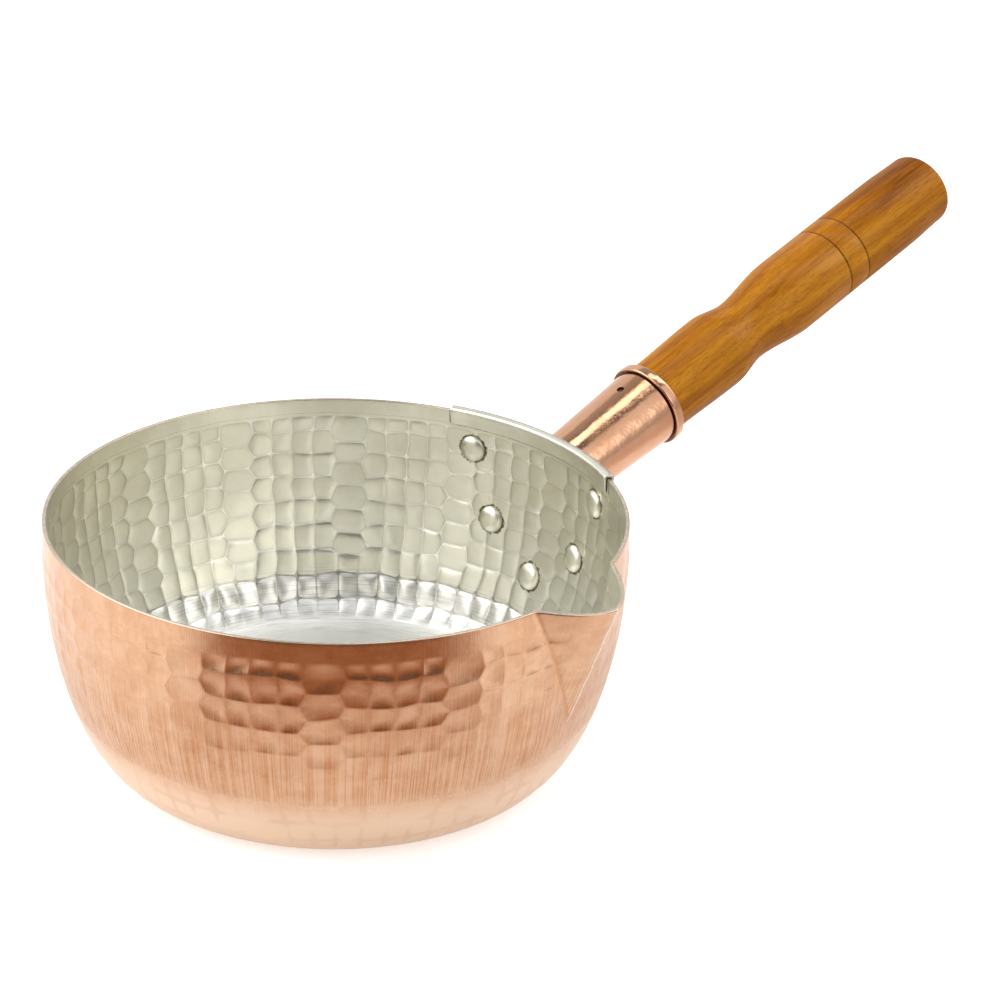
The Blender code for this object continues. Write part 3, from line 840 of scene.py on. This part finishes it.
# %% Collar ring
def collar_skin():
    """A band whose two outer edges are quarter rounds."""
    start, end, inner = SOCKET_LENGTH + RING_GAP, SOCKET_LENGTH + RING_GAP + COLLAR_WIDTH, NECK_RADIUS + 0.05
    round_ = 0.6
    corner = np.linspace(0.0, 0.5 * math.pi, 7)
    radii = np.concatenate([[inner, inner + 0.6], COLLAR_RADIUS - round_ * (1 - np.sin(corner)),
                            COLLAR_RADIUS - round_ * (1 - np.cos(corner)), [inner + 0.6, inner]])
    stations = np.concatenate([[start, start], start + round_ * (1 - np.cos(corner)),
                               end - round_ * (1 - np.sin(corner)), [end, end]])
    grid = turned_grid(radii, stations, TURN_POINTS)
    return surface_piece("collar_copper", in_frame(grid, HANDLE_ORIGIN, HANDLE_AXES), ends="ring")


collar_copper = collar_skin()
place(collar_copper, "copper", "collar_ring")

# %% Wooden handle
TENON_START = 8.0
SWELL = (12.6, 78.0)
WAIST = (10.6, 90.9)
GRIP = (13.0, 113.3)
BUTT_RADIUS = 12.5
BUTT_STATION = 186.1
BUTT_TAPER = 19.0
BUTT_ROUND = 3.0
GROOVES = (132.2, 141.4)
GROOVE_WIDTH = 0.8
GROOVE_DEPTH = 0.32


def eased(first, last, steps):
    """Radii and stations from one to another, level at both ends: the share is 3t^2 - 2t^3."""
    share = np.linspace(0.0, 1.0, steps + 1)[1:]
    ease = share ** 2 * (3.0 - 2.0 * share)
    first, last = np.array(first), np.array(last)
    return first + (last - first) * np.stack([ease, share], axis=-1)


def groove(station):
    """A rounded V: its depth falls as a cosine to each side."""
    side = np.linspace(-1.0, 1.0, 9)
    return np.stack([GRIP[0] - GROOVE_DEPTH * 0.5 * (1.0 + np.cos(math.pi * side)),
                     station + 0.5 * GROOVE_WIDTH * side], axis=-1)


def wood_outline():
    """Radius and station along the handle: the tenon, the swell, the waist, the grip and the butt."""
    neck_start = SOCKET_LENGTH + 0.1
    neck = (NECK_RADIUS, neck_start + COLLAR_WIDTH + 0.4)
    taper = (GRIP[0], BUTT_STATION - BUTT_TAPER)
    shoulder = (BUTT_RADIUS, BUTT_STATION - BUTT_ROUND)
    turn = np.linspace(0.0, 0.5 * math.pi, 12)[1:]
    butt = np.stack([BUTT_RADIUS - BUTT_ROUND * (1.0 - np.cos(turn)),
                     BUTT_STATION - BUTT_ROUND * (1.0 - np.sin(turn))], axis=-1)
    face = np.stack([np.linspace(BUTT_RADIUS - BUTT_ROUND, 0.3, 7)[1:], np.full(6, BUTT_STATION)], axis=-1)
    inside = SOCKET_ROOT_RADIUS - 0.7
    start = [(0.3, TENON_START), (inside - 0.3, TENON_START), (inside, TENON_START + 0.3),
             (SOCKET_MOUTH_RADIUS - 1.0, neck_start), (NECK_RADIUS, neck_start), neck]
    return np.concatenate([start, eased(neck, SWELL, 26), eased(SWELL, WAIST, 24), eased(WAIST, GRIP, 30),
                           groove(GROOVES[0]), groove(GROOVES[1]), [taper], eased(taper, shoulder, 10),
                           butt, face])


def wood_skin():
    """The outline turned about the handle's axis."""
    outline = wood_outline()
    grid = turned_grid(outline[:, 0], outline[:, 1], TURN_POINTS)
    heading = np.linspace(0.0, 360.0, TURN_POINTS, endpoint=False)
    u = heading[None, :] * 0.02 + 0.0 * outline[:, :1]
    v = outline[:, 1:] * 0.1 + 0.0 * u
    return surface_piece("handle_wood_turned", in_frame(grid, HANDLE_ORIGIN, HANDLE_AXES), map_points=(u, v))


handle_wood = wood_skin()
drill(handle_wood, NAIL_HOLE_RADIUS, NAIL_STATION, 3.0, 16.0)
place(handle_wood, "wood", "handle_wood")

# %% [markdown]
# ## Shader sums
#
# A shader is a graph of nodes, and a graph is hard to read. This small class wraps one
# socket, so that sums on values are written as Python sums and each one adds its Math node.

# %% A socket that can be added and multiplied
class Value:
    """One output socket of a node tree, or the start of a tree."""

    def __init__(self, tree, socket=None):
        self.tree = tree
        self.socket = socket

    def node(self, kind, settings=None, inputs=None, output=0):
        """Add a node: its settings are set first, then the values or links of its sockets."""
        made = self.tree.nodes.new(kind)
        for name, setting in (settings or {}).items():
            if name == "stops":
                set_stops(made.color_ramp, setting)
            else:
                setattr(made, name, setting)
        for name, value in (inputs or {}).items():
            if isinstance(value, Value):
                self.tree.links.new(value.socket, made.inputs[name])
            else:
                made.inputs[name].default_value = value
        return Value(self.tree, made.outputs[output])

    def sibling(self, output):
        """Another output of the node that this value comes from."""
        return Value(self.tree, self.socket.node.outputs[output])

    def math(self, operation, first, second=0.0):
        return self.node("ShaderNodeMath", {"operation": operation}, {0: first, 1: second})

    def absolute(self):
        return self.math("ABSOLUTE", self)

    def attribute(self, name):
        """A named number that was written on the mesh's points."""
        return self.node("ShaderNodeAttribute", {"attribute_name": name}, output=2)

    def dot(self, vector, axis):
        """How far a vector reaches along an axis."""
        return self.node("ShaderNodeVectorMath", {"operation": "DOT_PRODUCT"}, {0: vector, 1: axis}, output=1)

    def __add__(self, other):
        return self.math("ADD", self, other)

    def __sub__(self, other):
        return self.math("SUBTRACT", self, other)

    def __rsub__(self, other):
        return self.math("SUBTRACT", other, self)

    def __mul__(self, other):
        return self.math("MULTIPLY", self, other)

    def __truediv__(self, other):
        return self.math("DIVIDE", self, other)

    def __pow__(self, other):
        return self.math("POWER", self, other)

    __radd__ = __add__
    __rmul__ = __mul__

    def between(self, low, high, start=0.0, end=1.0):
        """Smooth step from start to end as this value goes from low to high."""
        return self.node("ShaderNodeMapRange", {"interpolation_type": "SMOOTHSTEP"},
                         {"Value": self, "From Min": low, "From Max": high, "To Min": start, "To Max": end})

    def noise(self, vector, scale, detail=2.0, roughness=0.5, distortion=0.0):
        return self.node("ShaderNodeTexNoise", {},
                         {"Vector": vector, "Scale": scale, "Detail": detail, "Roughness": roughness,
                          "Distortion": distortion})

    def blend(self, first, second):
        """Mix two colours by this value."""
        return self.node("ShaderNodeMix", {"data_type": "RGBA"}, {0: self, 6: first, 7: second}, output=2)

    def bump(self, distance, strength=1.0, under=None):
        """Turn this height into a normal, on top of another bump if there is one."""
        inputs = {"Height": self, "Distance": distance, "Strength": strength}
        if under is not None:
            inputs["Normal"] = under
        return self.node("ShaderNodeBump", {}, inputs)


def set_stops(ramp, stops):
    """Place a colour ramp's stops, each a position and a colour."""
    while len(ramp.elements) > 1:
        ramp.elements.remove(ramp.elements[-1])
    ramp.elements[0].position, ramp.elements[0].color = stops[0]
    for position, colour in stops[1:]:
        ramp.elements.new(position).color = colour


def new_material(name):
    """A material, its start value, its object coordinates and its Principled shader."""
    material = bpy.data.materials.new(name)
    material.use_nodes = True
    tree = material.node_tree
    start = Value(tree)
    place_ = start.node("ShaderNodeTexCoord", output=3)
    return material, start, place_, tree.nodes["Principled BSDF"]


def connect(start, shader, **sockets):
    """Link or set the shader's sockets, whose names are written with _ for a space."""
    for name, value in sockets.items():
        socket = shader.inputs[name.replace("_", " ")]
        if isinstance(value, Value):
            start.tree.links.new(value.socket, socket)
        else:
            socket.default_value = value


def dress(piece, material):
    """Give a piece its one material."""
    piece.data.materials.clear()
    piece.data.materials.append(material)
    print(piece.name, "in", material.name)


def stretched(start, vector, scale, turn=(0.0, 0.0, 0.0), move=(0.0, 0.0, 0.0)):
    """A vector turned, moved and scaled."""
    return start.node("ShaderNodeMapping", {}, {"Vector": vector, "Location": move, "Rotation": turn,
                                                 "Scale": scale})


def streaks(start, vector, scale, *settings):
    """Noise drawn out by a different scale in each direction."""
    return start.noise(stretched(start, vector, scale), 1.0, *settings)


def along_handle(start, place_):
    """Object coordinates turned and moved so that X is the way along the handle, and X in mm."""
    centre = (-RIM_RADIUS * math.cos(tilt) - (BOWL_HEIGHT - AXIS_DROP) * math.sin(tilt), 0.0,
              RIM_RADIUS * math.sin(tilt) - (BOWL_HEIGHT - AXIS_DROP) * math.cos(tilt))
    along = stretched(start, place_, (1.0, 1.0, 1.0), turn=(0.0, tilt, 0.0),
                      move=tuple(MM * x for x in centre))
    return along, start.node("ShaderNodeSeparateXYZ", inputs={"Vector": along}) * (1.0 / MM)


def grey(value):
    return (value, value, value, 1.0)


# %% [markdown]
# ## Copper outside
#
# The outside was brushed from top to bottom after the hammering. The hairlines are faint at
# the rim, strongest in the middle, and stop in a ragged line two thirds of the way down.
# Below it the copper is paler, and the last blows only show as faint outlines. Copper
# darkens where it was handled, so a cloudy noise tints it. The band under the rim and the
# middle rows are painted a deeper copper, a painted shade. The ridges between the upper
# dishes have a painted shade beside them and a fine painted highlight along them, the lip's
# creases a painted shade, and the lip's keel a painted highlight.

# %% Copper of the bowl
COPPER_BRIGHT = (0.73, 0.46, 0.30, 1.0)
COPPER_DEEP = (0.52, 0.24, 0.108, 1.0)
COPPER_PALE = (0.86, 0.66, 0.495, 1.0)


def copper_bowl_material():
    """Brushed copper, tinted by the stains, the foot's creases and the rim's edge, with painted shade in the
    upper rows and painted shade and highlights on the upper creases, the lip's folds and its keel.
    """
    material, start, place_, shader = new_material("brushed copper")
    surface = start.node("ShaderNodeUVMap", {"uv_map": "surface"})
    down = start.attribute("down")
    fine = streaks(start, surface, (24.0, 0.16, 1.0), 2.0, 0.7)
    coarse = streaks(start, surface, (11.0, 0.20, 1.0), 1.0, 0.6)
    hair = fine * 0.90 + coarse * 0.10
    ragged = streaks(start, surface, (16.0, 0.0, 1.0), 2.0, 0.7)
    brushed = (down + ragged * 6.0).between(52.6, 54.0, 1.0, 0.0)
    brushed = brushed * (0.25 + down.between(14.0, 40.0) * 0.75)
    ripple = hair.between(0.40, 0.60)
    stain = start.noise(place_, 120.0, 6.0, 0.7).between(0.40, 0.62)
    pale = down.between(46.0, 60.0)
    # Painted shade: the band under the rim and the middle rows, down to the pale foot, are painted a deeper
    # copper.
    middle_rows = down.between(14.0, 36.0) * (1.0 - pale)
    deep = stain * 0.32 + (1.0 - ripple) * brushed * 0.44 + middle_rows * 0.14 + down.between(26.0, 4.0) * 0.12
    tint = deep.blend(COPPER_BRIGHT, COPPER_DEEP)
    colour = (pale * 0.85 + ripple * brushed * middle_rows * 0.20).blend(tint, COPPER_PALE)
    crease = start.attribute("crease")
    # Painted shade beside the ridges between the upper dishes, and a fine painted highlight along each ridge.
    above = down.between(34.0, 22.0) * (1.0 - stain * 0.5)
    colour = (crease.between(0.9, 0.25) * above * 0.22).blend(colour, COPPER_DEEP)
    colour = (crease.between(0.20, 0.03) * above * 0.15).blend(colour, COPPER_PALE)
    faint = start.noise(place_, 90.0, 2.0, 0.5).between(0.40, 0.60)
    colour = (crease.between(1.10, 0.30) * pale * faint * 0.20).blend(colour, COPPER_DEEP)
    colour = (down.between(0.30, 0.10) * 0.8).blend(colour, (0.60, 0.50, 0.40, 1.0))
    keel, fold = (start.attribute(name).absolute() for name in ("to_keel", "to_fold"))
    # Painted shade in the lip's two creases.
    colour = (fold.between(0.9, 0.2) * 0.45).blend(colour, COPPER_DEEP)
    # A painted highlight along the lip's rounded keel.
    colour = (keel.between(0.34, 0.14) * 0.9).blend(colour, (0.97, 0.84, 0.70, 1.0))
    grain = start.noise(place_, 1400.0, 2.0, 0.6)
    hand = start.noise(place_, 170.0, 3.0, 0.6)
    rough = 0.20 + ripple * brushed * 0.12 + grain * 0.05 + pale * 0.12
    lines = (hair * brushed).bump(0.00012, 0.8)
    uneven = (hand - keel.between(0.4, 0.0) * 0.6).bump(0.00025, 0.35, under=lines)
    normal = grain.bump(0.00002, 0.35, under=uneven)
    connect(start, shader, Base_Color=colour, Roughness=rough, Normal=normal, Metallic=1.0)
    return material


dress(bowl_copper, copper_bowl_material())

# %% [markdown]
# ## Tin inside
#
# Tin is wiped on hot with a rag. It is a soft, slightly yellow grey, duller than steel, with
# cloudy patches, and whiter on the floor, which has fine circular scratches. The creases at
# the bend are darker. Dirt lies round the rivet heads, dirt and a painted shadow lie along the
# flap's edge, and the slits at the flap's ends are painted shade. Higher up the creases carry
# painted highlights. The shader finds all these places by the distances that were written on
# the mesh: down the metal, to the nearest crease, to the rivets and to the flap.

# %% Tin of the bowl
TIN_BRIGHT = (0.82, 0.80, 0.69, 1.0)
TIN_DULL = (0.72, 0.70, 0.59, 1.0)
TIN_CREASE_HIGHLIGHT = (0.98, 0.97, 0.90, 1.0)
TIN_CLEAN = (0.82, 0.82, 0.77, 1.0)
TIN_FLOOR = (0.89, 0.89, 0.87, 1.0)
TIN_DIRT_AND_SHADE = (0.12, 0.095, 0.055, 1.0)


def tin_bowl_material():
    """Wiped tin. From the bend down it is cleaner, and its creases are darker instead of carrying painted
    highlights.
    """
    material, start, place_, shader = new_material("wiped tin")
    surface = start.node("ShaderNodeUVMap", {"uv_map": "surface"})
    down = start.attribute("down")
    crease = start.attribute("crease")
    cloud = start.noise(place_, 55.0, 4.0, 0.6).between(0.32, 0.7)
    colour = cloud.blend(TIN_BRIGHT, TIN_DULL)
    colour = (down.between(14.0, 50.0) * 0.3).blend(colour, TIN_CLEAN)
    floor = down.between(65.0, 72.0)
    colour = down.between(54.0, 64.0).blend(colour, TIN_FLOOR)
    low = down.between(54.0, 58.0)
    crease_noise = start.noise(place_, 330.0, 3.0, 0.6)
    patch = start.noise(place_, 150.0, 2.0, 0.5).between(0.38, 0.62)
    # The creases are darker: faintly on the wall, more at the bend.
    groove = (crease + crease_noise * 0.6).between(0.60, 0.36) * low * (0.18 + patch * 0.40)
    crease_dark = crease.between(0.80, 0.30) * (1.0 - low) * 0.10 + groove
    colour = crease_dark.blend(colour, TIN_DIRT_AND_SHADE)
    # Painted highlights: the hollows of the creases catch the light as thin bright lines.
    crease_highlight = (crease + crease_noise * 0.24).between(0.28, 0.14) * (1.0 - low) * (0.12 + patch * 0.68)
    colour = crease_highlight.blend(colour, TIN_CREASE_HIGHLIGHT)
    flap = start.attribute("to_flap")
    broken = start.noise(place_, 700.0, 3.0, 0.7).between(0.38, 0.62)
    # Specks of dirt and a painted shadow along the flap's lower edge.
    seam = flap.between(-0.15, 0.05) * flap.between(0.5, 0.22) * (0.25 + broken * 0.6)
    colour = seam.blend(colour, TIN_DIRT_AND_SHADE)
    left, right = (start.attribute(name) for name in ("left_end", "right_end"))
    # Painted shade in the slits at the flap's two ends.
    right_slot = right.between(-0.1, 0.05) * right.between(0.75, 0.5)
    right_line = right.between(1.5, 1.7) * right.between(2.3, 2.0)
    slots = left.between(-0.1, 0.05) * left.between(0.85, 0.65) + (right_slot + right_line)
    colour = (slots * 0.85).blend(colour, TIN_DIRT_AND_SHADE)
    to_rivet = start.attribute("to_rivet")
    smoke = start.noise(place_, 620.0, 4.0, 0.7)
    stain = (to_rivet + smoke * 3.0).between(6.5, 5.9) * 0.95
    colour = stain.blend(colour, TIN_DIRT_AND_SHADE)
    rings = streaks(start, surface, (0.35, 34.0, 1.0), 3.0, 0.65)
    worn_edge = down.between(0.36, 0.12)
    colour = (worn_edge * (0.45 + broken * 0.3)).blend(colour, (0.45, 0.33, 0.24, 1.0))
    band = down.between(5.0, 5.8, 1.0, 0.0)
    turned = floor * 0.8 + band * 0.4
    grain = start.noise(place_, 900.0, 3.0, 0.6)
    hand = start.noise(place_, 200.0, 3.0, 0.6)
    strokes = streaks(start, surface, (0.6, 26.0, 1.0), 3.0, 0.65)
    colour = (strokes.between(0.46, 0.66) * low * down.between(86.0, 74.0) * 0.34).blend(colour, TIN_DIRT_AND_SHADE)
    rough = 0.28 + low * 0.03 + cloud * 0.06 + grain * 0.03 + floor * 0.12
    scratch = (rings * turned).bump(0.00010, 0.8)
    uneven = hand.bump(0.00025, 0.35, under=scratch)
    normal = grain.bump(0.00002, 0.25, under=uneven)
    connect(start, shader, Base_Color=colour, Roughness=rough, Normal=normal, Metallic=1.0)
    return material


dress(bowl_tin, tin_bowl_material())

# %% Plate, socket and ring
def copper_fitting_material(name, bright, rough_base, tinned):
    """Smoother copper for the fittings, with tin over it where the piece says so."""
    material, start, place_, shader = new_material(name)
    along, station = along_handle(start, place_)
    brushed = streaks(start, along, (60.0, 900.0, 900.0), 3.0, 0.6)
    stain = start.noise(place_, 70.0, 4.0, 0.6).between(0.35, 0.7)
    # A painted shadow in the gap between the socket's mouth and the collar ring.
    gap = station.between(44.85, 44.97) * station.between(45.45, 45.35)
    colour = (gap * 0.9).blend((stain * 0.4).blend(bright, COPPER_DEEP), (0.06, 0.02, 0.01, 1.0))
    grain = start.noise(place_, 1200.0, 2.0, 0.6)
    rough = rough_base + stain * 0.06 + brushed * 0.05
    if tinned:
        cover = start.attribute("tinned")
        edge = (cover + start.noise(place_, 500.0, 3.0) * 0.3).between(0.30, 0.50)
        cloud = start.noise(place_, 90.0, 4.0).between(0.3, 0.7)
        tin = cloud.blend(TIN_BRIGHT, TIN_DULL)
        to_rim = start.attribute("to_rim")
        roll_noise = start.noise(place_, 520.0, 3.0, 0.7).between(0.35, 0.6)
        # A painted grey shade along the top of the roll over the rim.
        roll_shade = to_rim.between(-1.0, -0.4) * to_rim.between(0.9, 0.3) * (0.35 + roll_noise * 0.3)
        colour = edge.blend(colour, roll_shade.blend(tin, (0.20, 0.20, 0.19, 1.0)))
    hand = start.noise(place_, 190.0, 3.0, 0.55).bump(0.00035, 0.4)
    normal = grain.bump(0.00002, 0.3, under=brushed.bump(0.00004, 0.35, under=hand))
    connect(start, shader, Base_Color=colour, Roughness=rough, Normal=normal, Metallic=1.0)
    return material


dress(plate_copper, copper_fitting_material("plate copper", COPPER_BRIGHT, 0.28, True))
fitting = copper_fitting_material("polished copper", (0.70, 0.39, 0.245, 1.0), 0.11, False)
dress(socket_copper, fitting)
dress(collar_copper, fitting)

# %% Rivets and nail
def rivet_material():
    """Tin on the heads inside the bowl, and bare copper on those outside."""
    material, start, place_, shader = new_material("tinned rivet")
    cloud = start.noise(place_, 260.0, 4.0, 0.6).between(0.3, 0.7)
    outside = start.attribute("outer").between(-0.5, 0.5)
    colour = outside.blend(cloud.blend(TIN_BRIGHT, TIN_DULL), cloud.blend(COPPER_BRIGHT, COPPER_DEEP))
    grain = start.noise(place_, 1500.0, 2.0)
    rough = 0.31 + cloud * 0.1
    connect(start, shader, Base_Color=colour, Roughness=rough, Normal=grain.bump(0.00003, 0.3), Metallic=1.0)
    return material


head = rivet_material()
for piece in rivets.values():
    dress(piece, head)


def nail_material():
    """Dark iron with a little rust, for the nail of the solid model."""
    material, start, place_, shader = new_material("dark steel")
    rust = start.noise(place_, 1800.0, 3.0).between(0.4, 0.65)
    colour = rust.blend((0.10, 0.09, 0.08, 1.0), (0.13, 0.06, 0.03, 1.0))
    connect(start, shader, Base_Color=colour, Roughness=0.45 + rust * 0.3, Metallic=1.0,
            Normal=rust.bump(0.00005, 0.4))
    return material


dress(nodes["handle_nail"], nail_material())

# %% [markdown]
# ## Lacquered wood
#
# The handle is a close-grained hardwood: golden brown, with slow bands along the grain and
# many short dark pores. The pores are noise stretched along the handle and cut off high. A
# clear coat over it gives the lacquer.

# %% Wood
def wood_material():
    """Bands and fibres set the tone. The two scored lines and the pores are darker."""
    material, start, place_, shader = new_material("lacquered wood")
    along, station = along_handle(start, place_)
    bands = streaks(start, along, (9.0, 130.0, 130.0), 3.0, 0.55, 0.6)
    fibre = streaks(start, along, (60.0, 1300.0, 1300.0), 4.0, 0.7)
    pores = streaks(start, along, (260.0, 3000.0, 3000.0), 2.0, 0.6)
    flecks = pores.between(0.55, 0.63)
    # A painted highlight lightens the grip past the waist, and the wood is darker towards the butt.
    slow = station.between(95.0, 112.0) * 0.03 - station.between(128.0, 172.0) * 0.10
    tone = bands * 0.65 + fibre * 0.35 + slow
    colour = tone.node("ShaderNodeValToRGB", {"stops": [(0.30, (0.17, 0.046, 0.002, 1.0)),
                                                        (0.46, (0.39, 0.132, 0.003, 1.0)),
                                                        (0.66, (0.61, 0.255, 0.012, 1.0))]}, {"Fac": tone})
    colour = (flecks * 0.38).blend(colour, (0.13, 0.038, 0.007, 1.0))
    for mark in GROOVES:
        line = (station - mark).absolute().between(0.12, 0.42, 0.75, 0.0)
        colour = line.blend(colour, (0.12, 0.035, 0.008, 1.0))
    height = fibre * 0.3 - flecks * 0.7
    connect(start, shader, Base_Color=colour, Roughness=0.42 + fibre * 0.12, Normal=height.bump(0.00006, 0.4),
            Coat_Weight=0.15, Coat_Roughness=0.20, Specular_IOR_Level=0.05)
    return material


dress(handle_wood, wood_material())

# %% [markdown]
# ## Studio
#
# The camera sees plain white round the pan. Polished metal shows what is round it, so what the
# metal sees is a studio: a white tent with a large soft light at the left, a narrow tall one
# at the right and a small one overhead in a dark frame, which gives the socket its band of
# light between two dark ones. In front of the pan there is a dark gap, for the dark rows of
# blows under the rim, and low down the room is dim and warm. The table is white, and brown
# where the copper's foot and the socket's lower side look at it.

# %% Directions as the camera sees them
PHOTO_TURN = 39.8


def seen(right, away, up):
    """A point or direction given as the camera sees it, turned into the pan's frame."""
    turn = math.radians(PHOTO_TURN)
    return Vector((right * math.cos(turn) + away * math.sin(turn),
                   -right * math.sin(turn) + away * math.cos(turn), up))


# %% Camera
CAMERA_PLACE = Vector((-0.37788, -0.45354, 0.34299))
CAMERA_AXES = ((0.72779, -0.68494, 0.03439), (0.26061, 0.32259, 0.90996), (-0.63436, -0.65329, 0.41328))
LENS = 83.842

camera_data = bpy.data.cameras.new("camera")
camera_data.lens, camera_data.sensor_width, camera_data.clip_start = LENS, 36.0, 0.01
camera = bpy.data.objects.new("camera", camera_data)
camera.matrix_world = Matrix.Translation(CAMERA_PLACE) @ Matrix(CAMERA_AXES).transposed().to_4x4()
bpy.context.scene.collection.objects.link(camera)
bpy.context.scene.camera = camera
print("camera at", tuple(round(x, 3) for x in CAMERA_PLACE))

# %% Table
TABLE_LEVEL = -0.0003
TABLE_REACH = 3.0
TABLE_FRONT = -0.55
GLOSSY_RAY = 3


def make_table():
    """A flat sheet just under the pan's base. Only mirrored rays see its brown shade and its glow.

    The camera sees it lit up to white, apart from the pan's shadow.
    """
    corners = [seen(right, away, TABLE_LEVEL) for right, away in (
        (-TABLE_REACH, TABLE_FRONT), (TABLE_REACH, TABLE_FRONT), (TABLE_REACH, TABLE_REACH),
        (-TABLE_REACH, TABLE_REACH))]
    mesh = bpy.data.meshes.new("table")
    mesh.from_pydata([tuple(c) for c in corners], [], [(0, 1, 2, 3)])
    table = bpy.data.objects.new("table", mesh)
    bpy.context.scene.collection.objects.link(table)
    material, start, place_, shader = new_material("table white")
    front_way, side_way = (start.dot(place_, axis) for axis in (seen(0.0, -1.0, 0.0), seen(1.0, 0.0, 0.0)))
    distance = (front_way * front_way + side_way * side_way) ** 0.5
    shade = distance.between(0.068, 0.215) * (front_way / distance).between(0.60, 0.86)
    shade = shade.math("MAXIMUM", shade, side_way.between(0.34, 0.52) * 0.4)
    behind = side_way.between(0.165, 0.235) * (front_way - side_way * 0.30).between(0.06, 0.0)
    shade = shade.math("MAXIMUM", shade, behind * 0.48)
    path = start.node("ShaderNodeLightPath", output=0)
    mirrored = path.sibling(GLOSSY_RAY)
    shaded = distance.between(0.20, 0.34).blend((0.37, 0.165, 0.070, 1.0), (0.19, 0.105, 0.065, 1.0))
    colour = (mirrored * shade).blend(grey(0.86), shaded)
    glow = path.math("MAXIMUM", path, mirrored * (1.0 - shade) * 0.56).blend(grey(0.0), grey(1.0))
    connect(start, shader, Base_Color=colour, Roughness=0.9, Specular_IOR_Level=0.1)
    connect(start, shader, Emission_Color=glow, Emission_Strength=0.5)
    mesh.materials.append(material)
    print("table", 2 * TABLE_REACH, "m wide")
    return table


table = make_table()

# %% Soft lights
def soft_light(name, where, size, power):
    """A lamp with a rectangular face of this width and height in metres, turned to the pan."""
    data = bpy.data.lights.new(name, "AREA")
    data.shape, data.size, data.size_y, data.energy = "RECTANGLE", size[0], size[1], power
    lamp = bpy.data.objects.new(name, data)
    aim = Vector((0.0, 0.0, 0.05)) - where
    lamp.matrix_world = Matrix.Translation(where) @ aim.to_track_quat("-Z", "Y").to_matrix().to_4x4()
    bpy.context.scene.collection.objects.link(lamp)
    print(name, "lamp of", power, "W")


soft_light("left", seen(-0.75, 0.05, 0.80), (1.00, 0.90), 5.9)
soft_light("right", seen(0.72, 0.19, 0.82), (0.34, 1.00), 2.9)
soft_light("top", seen(0.15, 0.16, 1.10), (0.34, 0.32), 1.0)
TOP_FRAME = seen(0.08, 0.21, 0.97)

# %% World
def make_world():
    """White to the camera. To the metal, a white tent with brighter and darker parts.

    The room is the dim part low in front, the hole the dark gap above it, and the bright side
    is beside the hole. The frame overhead surrounds the top lamp, and the far right is dim.
    """
    world = bpy.data.worlds.new("studio")
    bpy.context.scene.world = world
    world.use_nodes = True
    tree = world.node_tree
    start = Value(tree)
    direction = start.node("ShaderNodeTexCoord", output=0)
    across, front = (start.dot(direction, axis) for axis in (seen(1.0, 0.0, 0.0), seen(0.0, -1.0, 0.0)))
    up = start.node("ShaderNodeSeparateXYZ", inputs={0: direction}, output=2)
    sideways = across.absolute()
    room = front.between(0.54, 0.78) * up.between(0.42, 0.28)
    glance = up.between(-0.34, -0.12)
    hole = front.between(0.20, 0.50) * sideways.between(0.54, 0.38) * up.between(0.74, 0.56)
    bright_side = front.between(0.42, 0.54) * sideways.between(0.44, 0.60) * up.between(0.08, 0.28)
    overhead = start.dot(direction, TOP_FRAME.normalized()).between(0.80, 0.86)
    dim = across.between(0.82, 0.94) * up.between(0.42, 0.20)
    tent = 1.03 + bright_side * 1.6 - overhead * (0.86 - front.between(-0.10, -0.50) * 0.34) - dim * 0.45
    tent = hole * 0.05 + (1.0 - hole) * tent
    strength = room * (0.44 - glance * 0.26) + (1.0 - room) * tent
    camera_ray = start.node("ShaderNodeLightPath", output=0)
    strength = camera_ray + (1.0 - camera_ray) * strength
    background = tree.nodes["Background"]
    warm = (room * (1.0 - camera_ray) * up.between(0.2, 0.0)).blend(grey(1.0), (1.0, 0.60, 0.40, 1.0))
    tree.links.new(warm.socket, background.inputs["Color"])
    tree.links.new(strength.socket, background.inputs["Strength"])


make_world()
scene = bpy.context.scene
scene.view_settings.view_transform = "Standard"
